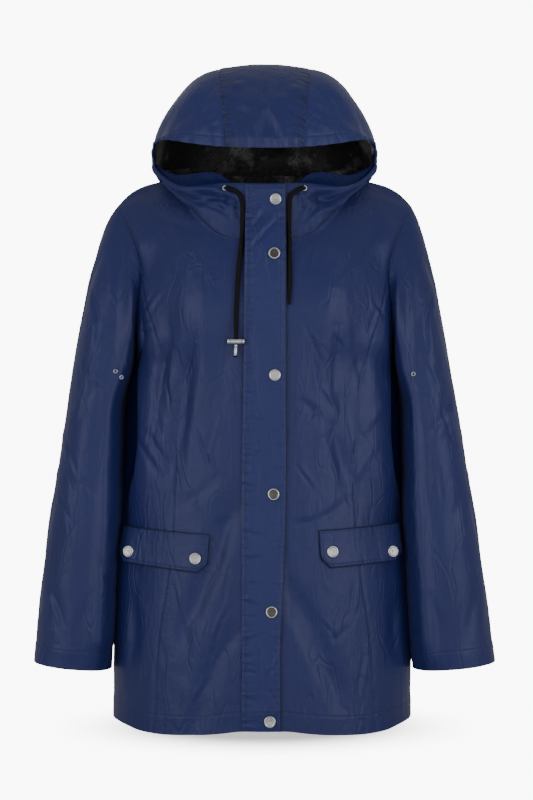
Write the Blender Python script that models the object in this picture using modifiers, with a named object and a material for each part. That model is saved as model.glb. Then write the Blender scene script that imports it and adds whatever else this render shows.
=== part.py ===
"""Hooded raincoat, filled out as if worn, with nobody in it.

Metres, +Z up, the front faces -Y and the wearer's left is +X.  The origin is the middle of the
neck, level with the points where the neckline meets the shoulders.

Each cloth piece is an open sheet of points on one shared surface of the coat.  A sheet becomes a
wall by moving its points inwards, and neighbours share their inward direction along a seam, so
that the walls meet in a mitre and stay SEAM_GAP apart.
"""
import math
from collections import namedtuple

import bmesh
import bpy
import numpy as np
from mathutils import Matrix, Vector
from mathutils.bvhtree import BVHTree

# ---------------------------------------------------------------- driving dimensions
CLOTH = 0.002               # wall of the coated cloth
LINING_CLOTH = 0.001        # wall of the mesh lining and of the hood's facing
SEAM_GAP = 0.0003           # between neighbours, face to face
LINING_INSET = 0.0028       # from the outer face of the hood to the outer face of its lining

HEM_Z = -0.730
CHEST_Z = -0.147            # where the princess seam leaves the armhole
UNDERARM_Z = -0.233
SHOULDER_TIP = Vector((0.199, 0.0, -0.042))
FRONT_ROUND = 2.4           # exponent of the plan's front half
BACK_ROUND = 2.3
HOOD_ROUND = 2.25           # exponent of the hood's ribs

NECK_HALF_WIDTH = 0.103
NECK_MIDDLE_Y = -0.019
NECK_HALF_DEPTH = 0.094
NECK_ROUND = 3.0            # exponent of the neckline's plan
SHOULDER_TURN = 100.0       # neckline angle at which the shoulder seam starts

SNAP_DIAMETER = 0.0155
SNAP_HEIGHT = 0.0022
CORD_DIAMETER = 0.006
EYELET_OUTER = 0.0045       # radii of a drawcord eyelet
EYELET_HOLE = 0.0022
EYELET_HEIGHT = 0.0014
SLEEVE_EYELET_SCALE = 0.72

UPPER_ROWS = 6              # rows from the neckline and shoulder down to CHEST_Z
LOWER_ROWS = 12             # rows from CHEST_Z down to the hem
SIDE_COLUMNS = 4
BELOW_CHEST = 0.006         # step down that gives a column's direction at CHEST_Z
HOOD_UPPER_ROWS = 6
HOOD_LOWER_ROWS = 4
SAME_POINT = 0.000001       # points closer than this are one point
MERGE = 0.00001             # the same, for turned pieces and cords
SEAM_CELL = 0.0002          # grid on which neighbours' seam points are matched
SAME_FACING = 0.2           # pieces share a direction at a seam above this dot product

# ---------------------------------------------------------------- short tables
# Plan of the body at each height: half widths on the wearer's right and left, depths of the
# front and the back, and where along Y the plan is widest.
Level = namedtuple("Level", "z half_right half_left front back widest_y")
LEVELS = [
    Level(-0.730, 0.207, 0.200, 0.124, 0.122, 0.030),
    Level(-0.640, 0.207, 0.2005, 0.123, 0.118, 0.040),
    Level(-0.530, 0.2050, 0.1975, 0.121, 0.112, 0.044),
    Level(-0.450, 0.2005, 0.1935, 0.120, 0.107, 0.044),
    Level(-0.350, 0.197, 0.191, 0.121, 0.102, 0.048),
    Level(-0.290, 0.1912, 0.1872, 0.124, 0.100, 0.052),
    Level(-0.256, 0.1806, 0.1790, 0.126, 0.101, 0.042),
    Level(-0.233, 0.172, 0.173, 0.127, 0.102, 0.006),
    Level(-0.190, 0.172, 0.173, 0.128, 0.104, 0.005),
    Level(-0.147, 0.172, 0.174, 0.124, 0.104, 0.005),
]

# The hem hangs lower by this much at each turn round the plan.
Hem = namedtuple("Hem", "turn drop")
HEM_SHAPE = [
    Hem(0.0, 0.0030), Hem(6.0, 0.0030), Hem(12.0, 0.0060), Hem(18.0, 0.0083), Hem(27.0, 0.0101),
    Hem(36.0, 0.0112), Hem(44.0, 0.0108), Hem(50.0, 0.0099), Hem(57.0, 0.0074), Hem(67.0, 0.0056),
    Hem(78.0, 0.0056), Hem(90.0, 0.0062), Hem(120.0, 0.0075), Hem(150.0, 0.0060), Hem(180.0, 0.0045),
]
HEM_FADE_Z = -0.590         # the drop starts here

# Distance of the princess seam from the middle of the front, on the surface.
Seam = namedtuple("Seam", "z x")
PRINCESS = [
    Seam(-0.730, 0.146), Seam(-0.600, 0.137), Seam(-0.545, 0.128), Seam(-0.463, 0.120),
    Seam(-0.350, 0.120), Seam(-0.285, 0.125), Seam(-0.222, 0.138), Seam(-0.183, 0.150),
    Seam(-0.147, 0.161),
]

# Height of the neckline seam at each angle round the neck from the middle of the front.
Neck = namedtuple("Neck", "turn z")
NECKLINE = [
    Neck(0.0, -0.101), Neck(14.0, -0.0985), Neck(28.0, -0.090), Neck(38.0, -0.079),
    Neck(50.0, -0.066), Neck(62.0, -0.056), Neck(76.0, -0.041), Neck(90.0, -0.014),
    Neck(100.0, 0.002), Neck(112.0, 0.005), Neck(140.0, 0.006), Neck(180.0, 0.005),
]

# Shoulder seam, from the neck out to the tip.
Shoulder = namedtuple("Shoulder", "x z")
SHOULDER = [
    Shoulder(0.100, 0.002), Shoulder(0.125, -0.0065), Shoulder(0.146, -0.0115),
    Shoulder(0.164, -0.0165), Shoulder(0.182, -0.026), Shoulder(0.199, -0.042),
]

# Direction in which the front and the back leave the top edge: place is 0 at the middle, 1 at
# the neck end of the shoulder seam and 2 at its tip; x points away from the middle.
Lean = namedtuple("Lean", "place x y z")
FRONT_LEANS = [
    Lean(0.0, 0.0, -0.25, -1.0), Lean(0.45, 0.45, -0.50, -0.75), Lean(0.75, 0.83, -0.42, -0.47),
    Lean(0.90, 0.79, -0.50, -0.57), Lean(1.0, 0.64, -0.74, -0.62), Lean(1.27, 0.18, -1.0, -0.47),
    Lean(2.0, 0.0, -1.0, -0.18),
]
BACK_LEANS = [
    Lean(0.0, 0.0, 0.45, -0.85), Lean(0.5, 0.30, 0.62, -0.70), Lean(0.85, 0.50, 0.66, -0.55),
    Lean(1.0, 0.42, 0.80, -0.50), Lean(1.27, 0.10, 1.0, -0.42), Lean(2.0, 0.0, 1.0, -0.18),
]
TOP_PULL = 0.75             # how strongly that direction holds

# Soft folds of the body.  A fold runs from (turn_top, z_top) to (turn_low, z_low); turns are
# degrees round the plan from the middle of the front, + to the wearer's left.
Fold = namedtuple("Fold", "turn_top z_top turn_low z_low half_width depth")
FOLDS = [
    Fold(-63.0, -0.215, -66.0, -0.470, 6.0, 0.007),
    Fold(66.0, -0.215, 69.0, -0.440, 5.0, 0.006),
    Fold(-28.0, -0.240, -32.0, -0.400, 5.0, 0.004),
    Fold(-42.0, -0.215, -42.0, -0.370, 4.0, 0.003),
    Fold(-8.0, -0.440, -26.0, -0.610, 5.5, 0.005),
    Fold(-9.0, -0.600, -23.0, -0.730, 5.0, 0.0035),
    Fold(29.0, -0.205, 31.0, -0.340, 5.0, 0.003),
    Fold(24.0, -0.330, 33.0, -0.440, 5.0, 0.0035),
    Fold(9.0, -0.560, 25.0, -0.690, 5.0, 0.005),
    Fold(128.0, -0.230, 134.0, -0.560, 7.0, 0.005),
    Fold(156.0, -0.300, 150.0, -0.640, 7.0, 0.004),
    Fold(-131.0, -0.220, -126.0, -0.520, 7.0, 0.005),
    Fold(-160.0, -0.260, -166.0, -0.600, 7.0, 0.004),
]

# Edge of the hood's mouth below the opening, one row for each column of the funnel.  under is
# how far the cloth drops below it before it turns in to the neckline.
Lip = namedtuple("Lip", "neck_turn x y z under")
LIP = [
    Lip(0.0, 0.0, -0.1125, -0.0275, 0.034), Lip(14.6, 0.026, -0.112, -0.0270, 0.033),
    Lip(26.0, 0.052, -0.1085, -0.0265, 0.030), Lip(37.0, 0.077, -0.103, -0.0280, 0.022),
    Lip(47.0, 0.098, -0.094, -0.0295, 0.016), Lip(57.0, 0.118, -0.078, -0.0230, 0.014),
    Lip(66.0, 0.137, -0.057, -0.0080, 0.019), Lip(75.0, 0.149, -0.040, 0.0080, 0.024),
]

# Ribs of the hood from the mouth to the back: the point of greatest width, and the crown at
# the middle.  seam_x is where the centre strip's edge crosses the rib.
Rib = namedtuple("Rib", "neck_turn side_x side_y side_z crown_y crown_z seam_x under")
RIBS = [
    Rib(75.0, 0.149, -0.040, 0.008, -0.150, 0.013, 0.050, 0.024),
    Rib(88.0, 0.152, -0.018, 0.014, -0.146, 0.050, 0.053, 0.025),
    Rib(100.0, 0.152, 0.005, 0.016, -0.132, 0.084, 0.056, 0.024),
    Rib(109.0, 0.151, 0.028, 0.017, -0.105, 0.114, 0.058, 0.027),
    Rib(118.0, 0.147, 0.052, 0.018, -0.066, 0.135, 0.059, 0.033),
    Rib(127.5, 0.138, 0.075, 0.019, -0.020, 0.1435, 0.059, 0.040),
    Rib(137.0, 0.121, 0.094, 0.020, 0.030, 0.1415, 0.058, 0.046),
    Rib(146.0, 0.099, 0.108, 0.021, 0.076, 0.125, 0.055, 0.049),
    Rib(155.5, 0.074, 0.117, 0.022, 0.108, 0.096, 0.049, 0.050),
    Rib(165.0, 0.050, 0.121, 0.022, 0.126, 0.060, 0.041, 0.050),
]
BRIM_ARCH = 0.022           # the brim's rise between its middle and its corners
CENTER_CROWN = 0.003        # how far the centre strip bulges at the back

# Sleeve sections from the armhole to the cuff: outer and inner ends across, front and back
# depths from middle_y.  round_in draws front and back towards the body, as the armhole does.
Ring = namedtuple("Ring", "outer_x outer_z inner_x inner_z front back middle_y round_in")
SLEEVE_RIGHT = [
    Ring(0.199, -0.042, 0.172, -0.233, 0.058, 0.055, 0.0, 0.024),
    Ring(0.213, -0.064, 0.1755, -0.243, 0.066, 0.066, -0.001, 0.013),
    Ring(0.225, -0.098, 0.1785, -0.255, 0.072, 0.072, -0.003, 0.006),
    Ring(0.236, -0.145, 0.182, -0.272, 0.075, 0.074, -0.006, 0.002),
    Ring(0.247, -0.200, 0.1865, -0.292, 0.074, 0.073, -0.010, 0.0),
    Ring(0.258, -0.262, 0.189, -0.322, 0.070, 0.070, -0.014, 0.0),
    Ring(0.267, -0.325, 0.190, -0.355, 0.066, 0.066, -0.018, 0.0),
    Ring(0.277, -0.395, 0.191, -0.400, 0.062, 0.061, -0.021, 0.0),
    Ring(0.288, -0.462, 0.194, -0.465, 0.059, 0.056, -0.023, 0.0),
    Ring(0.297, -0.530, 0.198, -0.532, 0.056, 0.052, -0.025, 0.0),
    Ring(0.304, -0.600, 0.2015, -0.602, 0.053, 0.049, -0.026, 0.0),
    Ring(0.309, -0.656, 0.205, -0.666, 0.051, 0.047, -0.026, 0.0),
]
SLEEVE_LEFT = [
    Ring(0.199, -0.042, 0.173, -0.233, 0.058, 0.055, 0.0, 0.024),
    Ring(0.209, -0.064, 0.176, -0.243, 0.066, 0.066, -0.001, 0.013),
    Ring(0.219, -0.098, 0.1785, -0.255, 0.072, 0.072, -0.003, 0.006),
    Ring(0.229, -0.145, 0.181, -0.272, 0.075, 0.074, -0.006, 0.002),
    Ring(0.239, -0.200, 0.1825, -0.292, 0.074, 0.073, -0.010, 0.0),
    Ring(0.250, -0.262, 0.1835, -0.322, 0.070, 0.070, -0.014, 0.0),
    Ring(0.261, -0.325, 0.184, -0.355, 0.066, 0.066, -0.018, 0.0),
    Ring(0.272, -0.395, 0.185, -0.400, 0.062, 0.061, -0.021, 0.0),
    Ring(0.283, -0.462, 0.187, -0.465, 0.059, 0.056, -0.023, 0.0),
    Ring(0.293, -0.530, 0.191, -0.532, 0.056, 0.052, -0.025, 0.0),
    Ring(0.302, -0.600, 0.195, -0.602, 0.053, 0.049, -0.026, 0.0),
    Ring(0.309, -0.656, 0.199, -0.666, 0.051, 0.047, -0.026, 0.0),
]
SLEEVE_RINGS = 15

# Edges of the storm flap over the centre front.
Flap = namedtuple("Flap", "z right_x left_x")
PLACKET = [
    Flap(-0.7325, -0.029, 0.0215), Flap(-0.600, -0.029, 0.022), Flap(-0.545, -0.029, 0.0247),
    Flap(-0.410, -0.029, 0.0287), Flap(-0.307, -0.0272, 0.0283), Flap(-0.144, -0.0254, 0.0281),
    Flap(-0.0285, -0.0245, 0.0280),
]
PLACKET_ROWS = 24
PLACKET_LIFT = CLOTH + 2 * SEAM_GAP
EDGE_STEP = 0.001           # how far inside an edge the coat is still looked up
PLACKET_REACH = (0.003, 0.012)      # across and up; it clears the highest cloth this near
PLACKET_SHARES = (0.0, 0.25, 0.5, 0.75, 1.0)

# Snap centres as (x, z) on the front.
PLACKET_SNAPS = [
    (0.0144, -0.048), (0.0127, -0.119), (0.0135, -0.275),
    (0.0117, -0.428), (0.0092, -0.579), (0.0070, -0.7195),
]

# Outlines of the pocket flaps on the front, anticlockwise from the top corner by the side seam,
# in (x, z) with x away from the middle.
FLAP_OUTLINE_RIGHT = [
    (0.186, -0.470), (0.070, -0.4765), (0.0735, -0.515), (0.087, -0.526), (0.183, -0.517),
    (0.191, -0.503),
]
FLAP_OUTLINE_LEFT = [
    (0.177, -0.466), (0.0695, -0.4715), (0.0725, -0.507), (0.085, -0.520), (0.170, -0.515),
    (0.180, -0.503),
]

FLAP_LIFT = 0.0033
FLAP_STANDS_OFF = 0.008     # how far the stiff flap stands clear of the coat at its side end
FLAP_STRAIGHT_X = 0.140     # from here out to that end it leaves the coat's curve
FLAP_COLUMNS = 9
FLAP_ROWS = 4
FLAP_SNAPS_RIGHT = [(0.1814, -0.508), (0.0892, -0.5115)]
FLAP_SNAPS_LEFT = [(0.0879, -0.5035), (0.1707, -0.5077)]

CORD_EYELETS = {"right": (-0.0505, -0.033), "left": (0.0516, -0.033)}
SLEEVE_EYELETS = {
    "eyelet_sleeve_right_1": (-0.192, -0.277), "eyelet_sleeve_right_2": (-0.199, -0.270),
    "eyelet_sleeve_left_1": (0.199, -0.273),
}

# Drawcords from the eyelet down to the free end.
CORD_STEP = 0.013
ROUTE_STEPS = 16
CORD_ROUTES = {
    "right": [
        (-0.0505, -0.1148, -0.0330), (-0.0440, -0.1150, -0.0350), (-0.0333, -0.1155, -0.0406),
        (-0.0285, -0.1155, -0.0515), (-0.0283, -0.1156, -0.0733), (-0.0289, -0.1165, -0.0979),
        (-0.0303, -0.1209, -0.1138), (-0.0324, -0.1261, -0.1325), (-0.0337, -0.1294, -0.1525),
        (-0.0350, -0.1312, -0.1760), (-0.0359, -0.1335, -0.1999), (-0.0363, -0.1357, -0.2283),
    ],
    "left": [
        (0.0516, -0.1148, -0.0330), (0.0460, -0.1150, -0.0350), (0.0398, -0.1152, -0.0387),
        (0.0335, -0.1155, -0.0454), (0.0320, -0.1155, -0.0635), (0.0318, -0.1155, -0.0880),
        (0.0320, -0.1208, -0.1125), (0.0324, -0.1262, -0.1325), (0.0325, -0.1296, -0.1525),
        (0.0322, -0.1312, -0.1700), (0.0318, -0.1324, -0.1850),
    ],
}
STOP_RADIUS = 0.0036
STOP_LENGTH = 0.0215
TIP_RADIUS = 0.0025
TIP_LENGTH = 0.0165

# ---------------------------------------------------------------- colours
NAVY = (0.020, 0.030, 0.110, 1.0)
NAVY_FACING = (0.030, 0.040, 0.160, 1.0)
BLACK = (0.006, 0.006, 0.008, 1.0)
STEEL = (0.60, 0.60, 0.60, 1.0)


# ---------------------------------------------------------------- small helpers
def smooth_value(keys, values, key):
    """Cubic curve through a short table, with slopes from its neighbours."""
    keys = np.asarray(keys, float)
    values = np.asarray(values, float)
    if keys[0] > keys[-1]:
        keys = keys[::-1]
        values = values[::-1]
    slopes = np.gradient(values, keys)
    index = int(np.clip(np.searchsorted(keys, key) - 1, 0, len(keys) - 2))
    span = keys[index + 1] - keys[index]
    t = float(np.clip((key - keys[index]) / span, 0.0, 1.0))
    start = (1 + 2 * t) * (1 - t) ** 2 * values[index] + t * (1 - t) ** 2 * span * slopes[index]
    end = t * t * (3 - 2 * t) * values[index + 1] + t * t * (t - 1) * span * slopes[index + 1]
    return float(start + end)


def column_of(table, name):
    return [getattr(row, name) for row in table]


def read(table, key_name, value_name, key):
    return smooth_value(column_of(table, key_name), column_of(table, value_name), key)


def read_row(table, name, position):
    """Value at a fractional row number."""
    return smooth_value(range(len(table)), column_of(table, name), position)


def power(value, exponent):
    return math.copysign(abs(value) ** exponent, value)


def ease(t):
    t = min(max(t, 0.0), 1.0)
    return t * t * (3 - 2 * t)


# ---------------------------------------------------------------- surface of the body
def fold_depth(turn, z):
    """How far the folds draw the surface in at a turn and a height."""
    total = 0.0
    for fold in FOLDS:
        along = (z - fold.z_top) / (fold.z_low - fold.z_top)
        if not -0.25 < along < 1.25:
            continue
        middle = fold.turn_top + (fold.turn_low - fold.turn_top) * along
        across = (turn - middle) / fold.half_width
        fade = ease((along + 0.25) / 0.5) * ease((1.25 - along) / 0.5)
        total += fold.depth * fade * (1.0 - 0.55 * across * across) * math.exp(-across * across)
    return total


BUST_TURN = 27.0
BUST_HALF_TURN = 15.0
BUST_Z = -0.180
BUST_HALF_HEIGHT = 0.062
BUST_FULLNESS = 0.011


def bust(turn, z):
    """Fullness that the princess seams give the chest."""
    across = (abs(turn) - BUST_TURN) / BUST_HALF_TURN
    along = (z - BUST_Z) / BUST_HALF_HEIGHT
    return BUST_FULLNESS * math.exp(-across * across - along * along)


def hem_drop(turn, z):
    share = ease((HEM_FADE_Z - z) / (HEM_FADE_Z - HEM_Z))
    return read(HEM_SHAPE, "turn", "drop", abs(turn)) * share if share > 0 else 0.0


def body_point(turn, z):
    """Outer surface of the body; turn is 0 at the middle front, 90 at the wearer's left side."""
    angle = math.radians(turn)
    side = math.sin(angle)
    ahead = math.cos(angle)
    half = read(LEVELS, "z", "half_left" if side > 0 else "half_right", z)
    widest = read(LEVELS, "z", "widest_y", z)
    if ahead >= 0:
        exponent = 2.0 / FRONT_ROUND
        depth = -(read(LEVELS, "z", "front", z) + widest)
    else:
        exponent = 2.0 / BACK_ROUND
        depth = read(LEVELS, "z", "back", z) - widest
    x = half * power(side, exponent)
    y = widest + depth * abs(ahead) ** exponent
    outward = Vector((x / half ** 2, (y - widest) / depth ** 2, 0.0)).normalized()
    place = Vector((x, y, z - hem_drop(turn, z)))
    return place + outward * (bust(turn, z) - fold_depth(turn, z))


def turn_at(x, z):
    """Turn on the front half at which the plain surface is x from the middle."""
    half = read(LEVELS, "z", "half_left" if x > 0 else "half_right", z)
    ratio = min(abs(x) / half, 1.0) ** (FRONT_ROUND / 2.0)
    return math.copysign(math.degrees(math.asin(ratio)), x)


def princess_turn(z, side):
    return turn_at(side * read(PRINCESS, "z", "x", z), z)


BACK_ARMHOLE_TURN = 116.0


def armhole_arc(part, side, front):
    """Lower half of the armhole, on the body: part is 0 at CHEST_Z and 1 under the arm."""
    start = abs(princess_turn(CHEST_Z, side)) if front else BACK_ARMHOLE_TURN
    quarter = 0.5 * math.pi * part
    turn = start + (90.0 - start) * (1 - math.cos(quarter))
    z = CHEST_Z + (UNDERARM_Z - CHEST_Z) * math.sin(quarter)
    return body_point(side * turn, z)


def neck_point(turn, side=1):
    angle = math.radians(turn)
    exponent = 2.0 / (NECK_ROUND if turn < 90.0 else 2.0)
    x = side * NECK_HALF_WIDTH * abs(math.sin(angle)) ** exponent
    y = NECK_MIDDLE_Y - NECK_HALF_DEPTH * power(math.cos(angle), exponent)
    return Vector((x, y, read(NECKLINE, "turn", "z", turn)))


def shoulder_point(part, side):
    """Shoulder seam from the neckline (0) to the tip (1)."""
    start = neck_point(SHOULDER_TURN)
    x = start.x + (SHOULDER_TIP.x - start.x) * part
    y = start.y * (1 - ease(part))
    z = read(SHOULDER, "x", "z", x) if part > 0 else start.z
    return Vector((side * x, y, z))


SHOULDER_PARTS = (0.27, 0.52, 0.76, 1.0)
FRONT_NECK_TURNS = column_of(LIP, "neck_turn") + column_of(RIBS, "neck_turn")[1:3]
BACK_NECK_TURNS = column_of(RIBS, "neck_turn")[2:] + [172.5, 180.0]
# Where each column of the front crosses CHEST_Z, as a share of the princess seam's distance.
FRONT_SHARES = [0.0, 0.16, 0.30, 0.415, 0.50, 0.565, 0.615, 0.66, 0.705, 0.75, 0.815, 0.88, 0.94, 1.0]


def hermite(start, start_slope, end, end_slope, t):
    a = (1 + 2 * t) * (1 - t) ** 2
    b = t * (1 - t) ** 2
    c = t * t * (3 - 2 * t)
    d = t * t * (t - 1)
    return start * a + start_slope * b + end * c + end_slope * d


def upper_column(top, lean, low_turn, part):
    """Point on a column from the neckline or shoulder down to CHEST_Z."""
    low = body_point(low_turn, CHEST_Z)
    below = body_point(low_turn, CHEST_Z - BELOW_CHEST)
    reach = (low - top).length
    start_slope = lean.normalized() * reach * TOP_PULL
    return hermite(top, start_slope, low, (below - low).normalized() * reach, part)


def lean_at(table, place, side):
    """Direction in which a half of the coat leaves its top edge."""
    return Vector((side * read(table, "place", "x", place), read(table, "place", "y", place),
                   read(table, "place", "z", place)))


def front_tops(side):
    """Top points of the front's columns, each with its place along the edge."""
    tops = [(turn / SHOULDER_TURN, neck_point(turn, side)) for turn in FRONT_NECK_TURNS]
    return tops + [(1 + part, shoulder_point(part, side)) for part in SHOULDER_PARTS]


def upper_front_point(tops, column, part, side):
    place, top = tops[column]
    low_turn = turn_at(side * FRONT_SHARES[column] * PRINCESS[-1].x, CHEST_Z)
    return upper_column(top, lean_at(FRONT_LEANS, place, side), low_turn, part)


def back_tops(side):
    turns = reversed(BACK_NECK_TURNS)
    tops = [((180.0 - turn) / (180.0 - SHOULDER_TURN), neck_point(turn, side)) for turn in turns]
    return tops + [(1 + part, shoulder_point(part, side)) for part in SHOULDER_PARTS]


def upper_back_point(tops, column, part, side):
    place, top = tops[column]
    spread = column / (len(tops) - 1)
    low_turn = 180.0 - (180.0 - BACK_ARMHOLE_TURN) * spread ** 0.9
    return upper_column(top, lean_at(BACK_LEANS, place, side), side * low_turn, part)


# ---------------------------------------------------------------- sheets
class Sheet:
    """Open surface: points and four-sided faces that face outwards."""

    def __init__(self):
        self.points = []
        self.faces = []

    def add_grid(self, rows, flip=False, closed=False):
        """Faces between rows of points; points that are already there are used again."""
        index = [[self.point(p) for p in row] for row in rows]
        width = len(index[0])
        for upper, lower in zip(index, index[1:]):
            for c in range(width if closed else width - 1):
                n = (c + 1) % width
                self.add_quad([upper[c], lower[c], lower[n], upper[n]], flip)

    def add_quad(self, corners, flip):
        """Two triangles across the shorter diagonal, which every copy of the sheet shares."""
        places = [self.points[v] for v in corners]
        turn = (places[1] - places[3]).length < (places[0] - places[2]).length - 1e-7
        a, b, c, d = corners[1:] + corners[:1] if turn else corners
        for face in ([a, b, c], [a, c, d]):
            if len(set(face)) == 3:
                self.faces.append(face[::-1] if flip else face)

    def point(self, place):
        for i, other in enumerate(self.points):
            if (other - place).length < SAME_POINT:
                return i
        self.points.append(Vector(place))
        return len(self.points) - 1

    def face_normal(self, face):
        total = Vector()
        first = self.points[face[0]]
        for a, b in zip(face[1:], face[2:]):
            total += (self.points[a] - first).cross(self.points[b] - first)
        return total

    def normals(self):
        sums = [Vector() for _ in self.points]
        for face in self.faces:
            normal = self.face_normal(face)
            for v in face:
                sums[v] += normal
        return [n.normalized() for n in sums]

    def border(self):
        """Edges with one face, each with the direction that points into that face."""
        count = {}
        for face in self.faces:
            for a, b in zip(face, face[1:] + face[:1]):
                count.setdefault(frozenset((a, b)), []).append((a, b, face))
        result = []
        for uses in count.values():
            if len(uses) > 1:
                continue
            a, b, face = uses[0]
            along = (self.points[b] - self.points[a]).normalized()
            inward = self.face_normal(face).normalized().cross(along)
            result.append((a, b, inward))
        return result


def seam_key(point):
    return tuple(round(c / SEAM_CELL) for c in point)


def line_up(group):
    """Give the pieces that meet at a point one normal for each set whose faces nearly line up."""
    sets = []
    for name in sorted(group):
        for members in sets:
            if members["sum"].normalized().dot(group[name]) > SAME_FACING:
                members["sum"] += group[name]
                members["names"].append(name)
                break
        else:
            sets.append({"sum": group[name].copy(), "names": [name]})
    return {name: members["sum"].normalized() for members in sets for name in members["names"]}


def shared_normals(sheets):
    """Outward directions at every point of every sheet, the same on both sides of a seam."""
    at_seam = {}
    result = {}
    for name, sheet in sheets.items():
        result[name] = sheet.normals()
        for a, b, _ in sheet.border():
            for v in (a, b):
                at_seam.setdefault(seam_key(sheet.points[v]), {})[name] = result[name][v]
    for name, sheet in sheets.items():
        for v, point in enumerate(sheet.points):
            group = at_seam.get(seam_key(point), {})
            if name in group:
                result[name][v] = line_up(group)[name]
    return result


def normals_by_place(sheets, normals, names):
    """Lookup from a point of some sheets to its outward direction."""
    return {seam_key(p): n for name in names for p, n in zip(sheets[name].points, normals[name])}


def wall_mesh(name, sheet, normals, thickness, gap=SEAM_GAP):
    """Closed wall from a sheet: its border drawn in by half the seam gap, its back moved in."""
    drawn = [Vector() for _ in sheet.points]
    edges = sheet.border()
    for a, b, inward in edges:
        drawn[a] += inward
        drawn[b] += inward
    outer = []
    for point, shift in zip(sheet.points, drawn):
        if shift.length > 0:
            narrow = max(shift.length / 2.0, 0.15)
            shift = shift.normalized() * (0.5 * gap / narrow)
        outer.append(point + shift)
    count = len(outer)
    inner = [p - n * thickness for p, n in zip(outer, normals)]
    faces = [list(face) for face in sheet.faces]
    faces += [[v + count for v in reversed(face)] for face in sheet.faces]
    for a, b, _ in edges:
        if seam_key(sheet.points[a]) < seam_key(sheet.points[b]):
            faces += [[b, a, b + count], [a, a + count, b + count]]
        else:
            faces += [[b, a, a + count], [b, a + count, b + count]]
    mesh = bpy.data.meshes.new(name)
    mesh.from_pydata([tuple(p) for p in outer + inner], [], faces)
    mesh.validate()
    return mesh


def moved_in(sheet, normals, distance):
    """Copy of a sheet, moved inwards."""
    copy = Sheet()
    copy.points = [p - n * distance for p, n in zip(sheet.points, normals)]
    copy.faces = [list(face) for face in sheet.faces]
    return copy


# ---------------------------------------------------------------- body panels
def lower_levels():
    return [CHEST_Z + (HEM_Z - CHEST_Z) * row / LOWER_ROWS for row in range(LOWER_ROWS + 1)]


def front_sheet(side):
    tops = front_tops(side)
    rows = []
    for row in range(UPPER_ROWS):
        part = row / UPPER_ROWS
        rows.append([upper_front_point(tops, c, part, side) for c in range(len(tops))])
    for z in lower_levels():
        seam_x = read(PRINCESS, "z", "x", z)
        turns = [turn_at(side * share * seam_x, z) for share in FRONT_SHARES]
        rows.append([body_point(turn, z) for turn in turns])
    sheet = Sheet()
    sheet.add_grid(rows, flip=side < 0)
    return sheet


def side_sheet(side):
    """From the princess seam to the side seam, under the front of the armhole."""
    rows = []
    for row, seam_z in enumerate(lower_levels()):
        part = row / LOWER_ROWS
        edge_z = UNDERARM_Z + (HEM_Z - UNDERARM_Z) * part
        start = abs(princess_turn(seam_z, side))
        points = []
        for column in range(SIDE_COLUMNS + 1):
            across = column / SIDE_COLUMNS
            quarter = 0.5 * math.pi * across
            bend = 1.0 - part
            rise = bend * math.sin(quarter) + (1 - bend) * across
            sweep = bend * (1 - math.cos(quarter)) + (1 - bend) * across
            z = seam_z + (edge_z - seam_z) * rise
            turn = start + (90.0 - start) * sweep
            points.append(body_point(side * turn, z))
        rows.append(points)
    sheet = Sheet()
    sheet.add_grid(rows, flip=side < 0)
    return sheet


def back_half_rows(side):
    """Rows of half the back, from the middle to the armhole or side seam."""
    tops = back_tops(side)
    last = len(tops) - 1
    rows = []
    for row in range(UPPER_ROWS):
        part = row / UPPER_ROWS
        rows.append([upper_back_point(tops, c, part, side) for c in range(len(tops))])
    arc_rows = SIDE_COLUMNS
    total = arc_rows + LOWER_ROWS
    for row in range(total + 1):
        middle_z = CHEST_Z + (HEM_Z - CHEST_Z) * row / total
        if row <= arc_rows:
            quarter = 0.5 * math.pi * row / arc_rows
            edge_turn = BACK_ARMHOLE_TURN + (90.0 - BACK_ARMHOLE_TURN) * (1 - math.cos(quarter))
            edge_z = CHEST_Z + (UNDERARM_Z - CHEST_Z) * math.sin(quarter)
        else:
            edge_turn = 90.0
            edge_z = UNDERARM_Z + (HEM_Z - UNDERARM_Z) * (row - arc_rows) / LOWER_ROWS
        points = []
        for column in range(last + 1):
            spread = column / last
            turn = 180.0 - (180.0 - edge_turn) * spread ** 0.9
            z = middle_z + (edge_z - middle_z) * spread ** 3
            points.append(body_point(side * turn, z))
        rows.append(points)
    return rows


def back_sheet():
    left = back_half_rows(1)
    right = back_half_rows(-1)
    rows = [r[::-1] + l[1:] for l, r in zip(left, right)]
    sheet = Sheet()
    sheet.add_grid(rows, flip=True)
    return sheet


# ---------------------------------------------------------------- sleeves
def armhole_loop(side):
    """Armhole as the panels' own edge points, from the shoulder tip round the front."""
    tops = front_tops(side)
    last = len(tops) - 1
    loop = [upper_front_point(tops, last, r / UPPER_ROWS, side) for r in range(UPPER_ROWS)]
    loop += [armhole_arc(c / SIDE_COLUMNS, side, True) for c in range(SIDE_COLUMNS + 1)]
    loop += [armhole_arc(c / SIDE_COLUMNS, side, False) for c in reversed(range(SIDE_COLUMNS))]
    tops = back_tops(side)
    last = len(tops) - 1
    loop += [upper_back_point(tops, last, r / UPPER_ROWS, side) for r in range(UPPER_ROWS - 1, 0, -1)]
    return loop


def loop_angles():
    quarters = [UPPER_ROWS, SIDE_COLUMNS, SIDE_COLUMNS, UPPER_ROWS]
    angles = []
    for quarter, steps in enumerate(quarters):
        angles += [90.0 * (quarter + step / steps) for step in range(steps)]
    return angles


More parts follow.
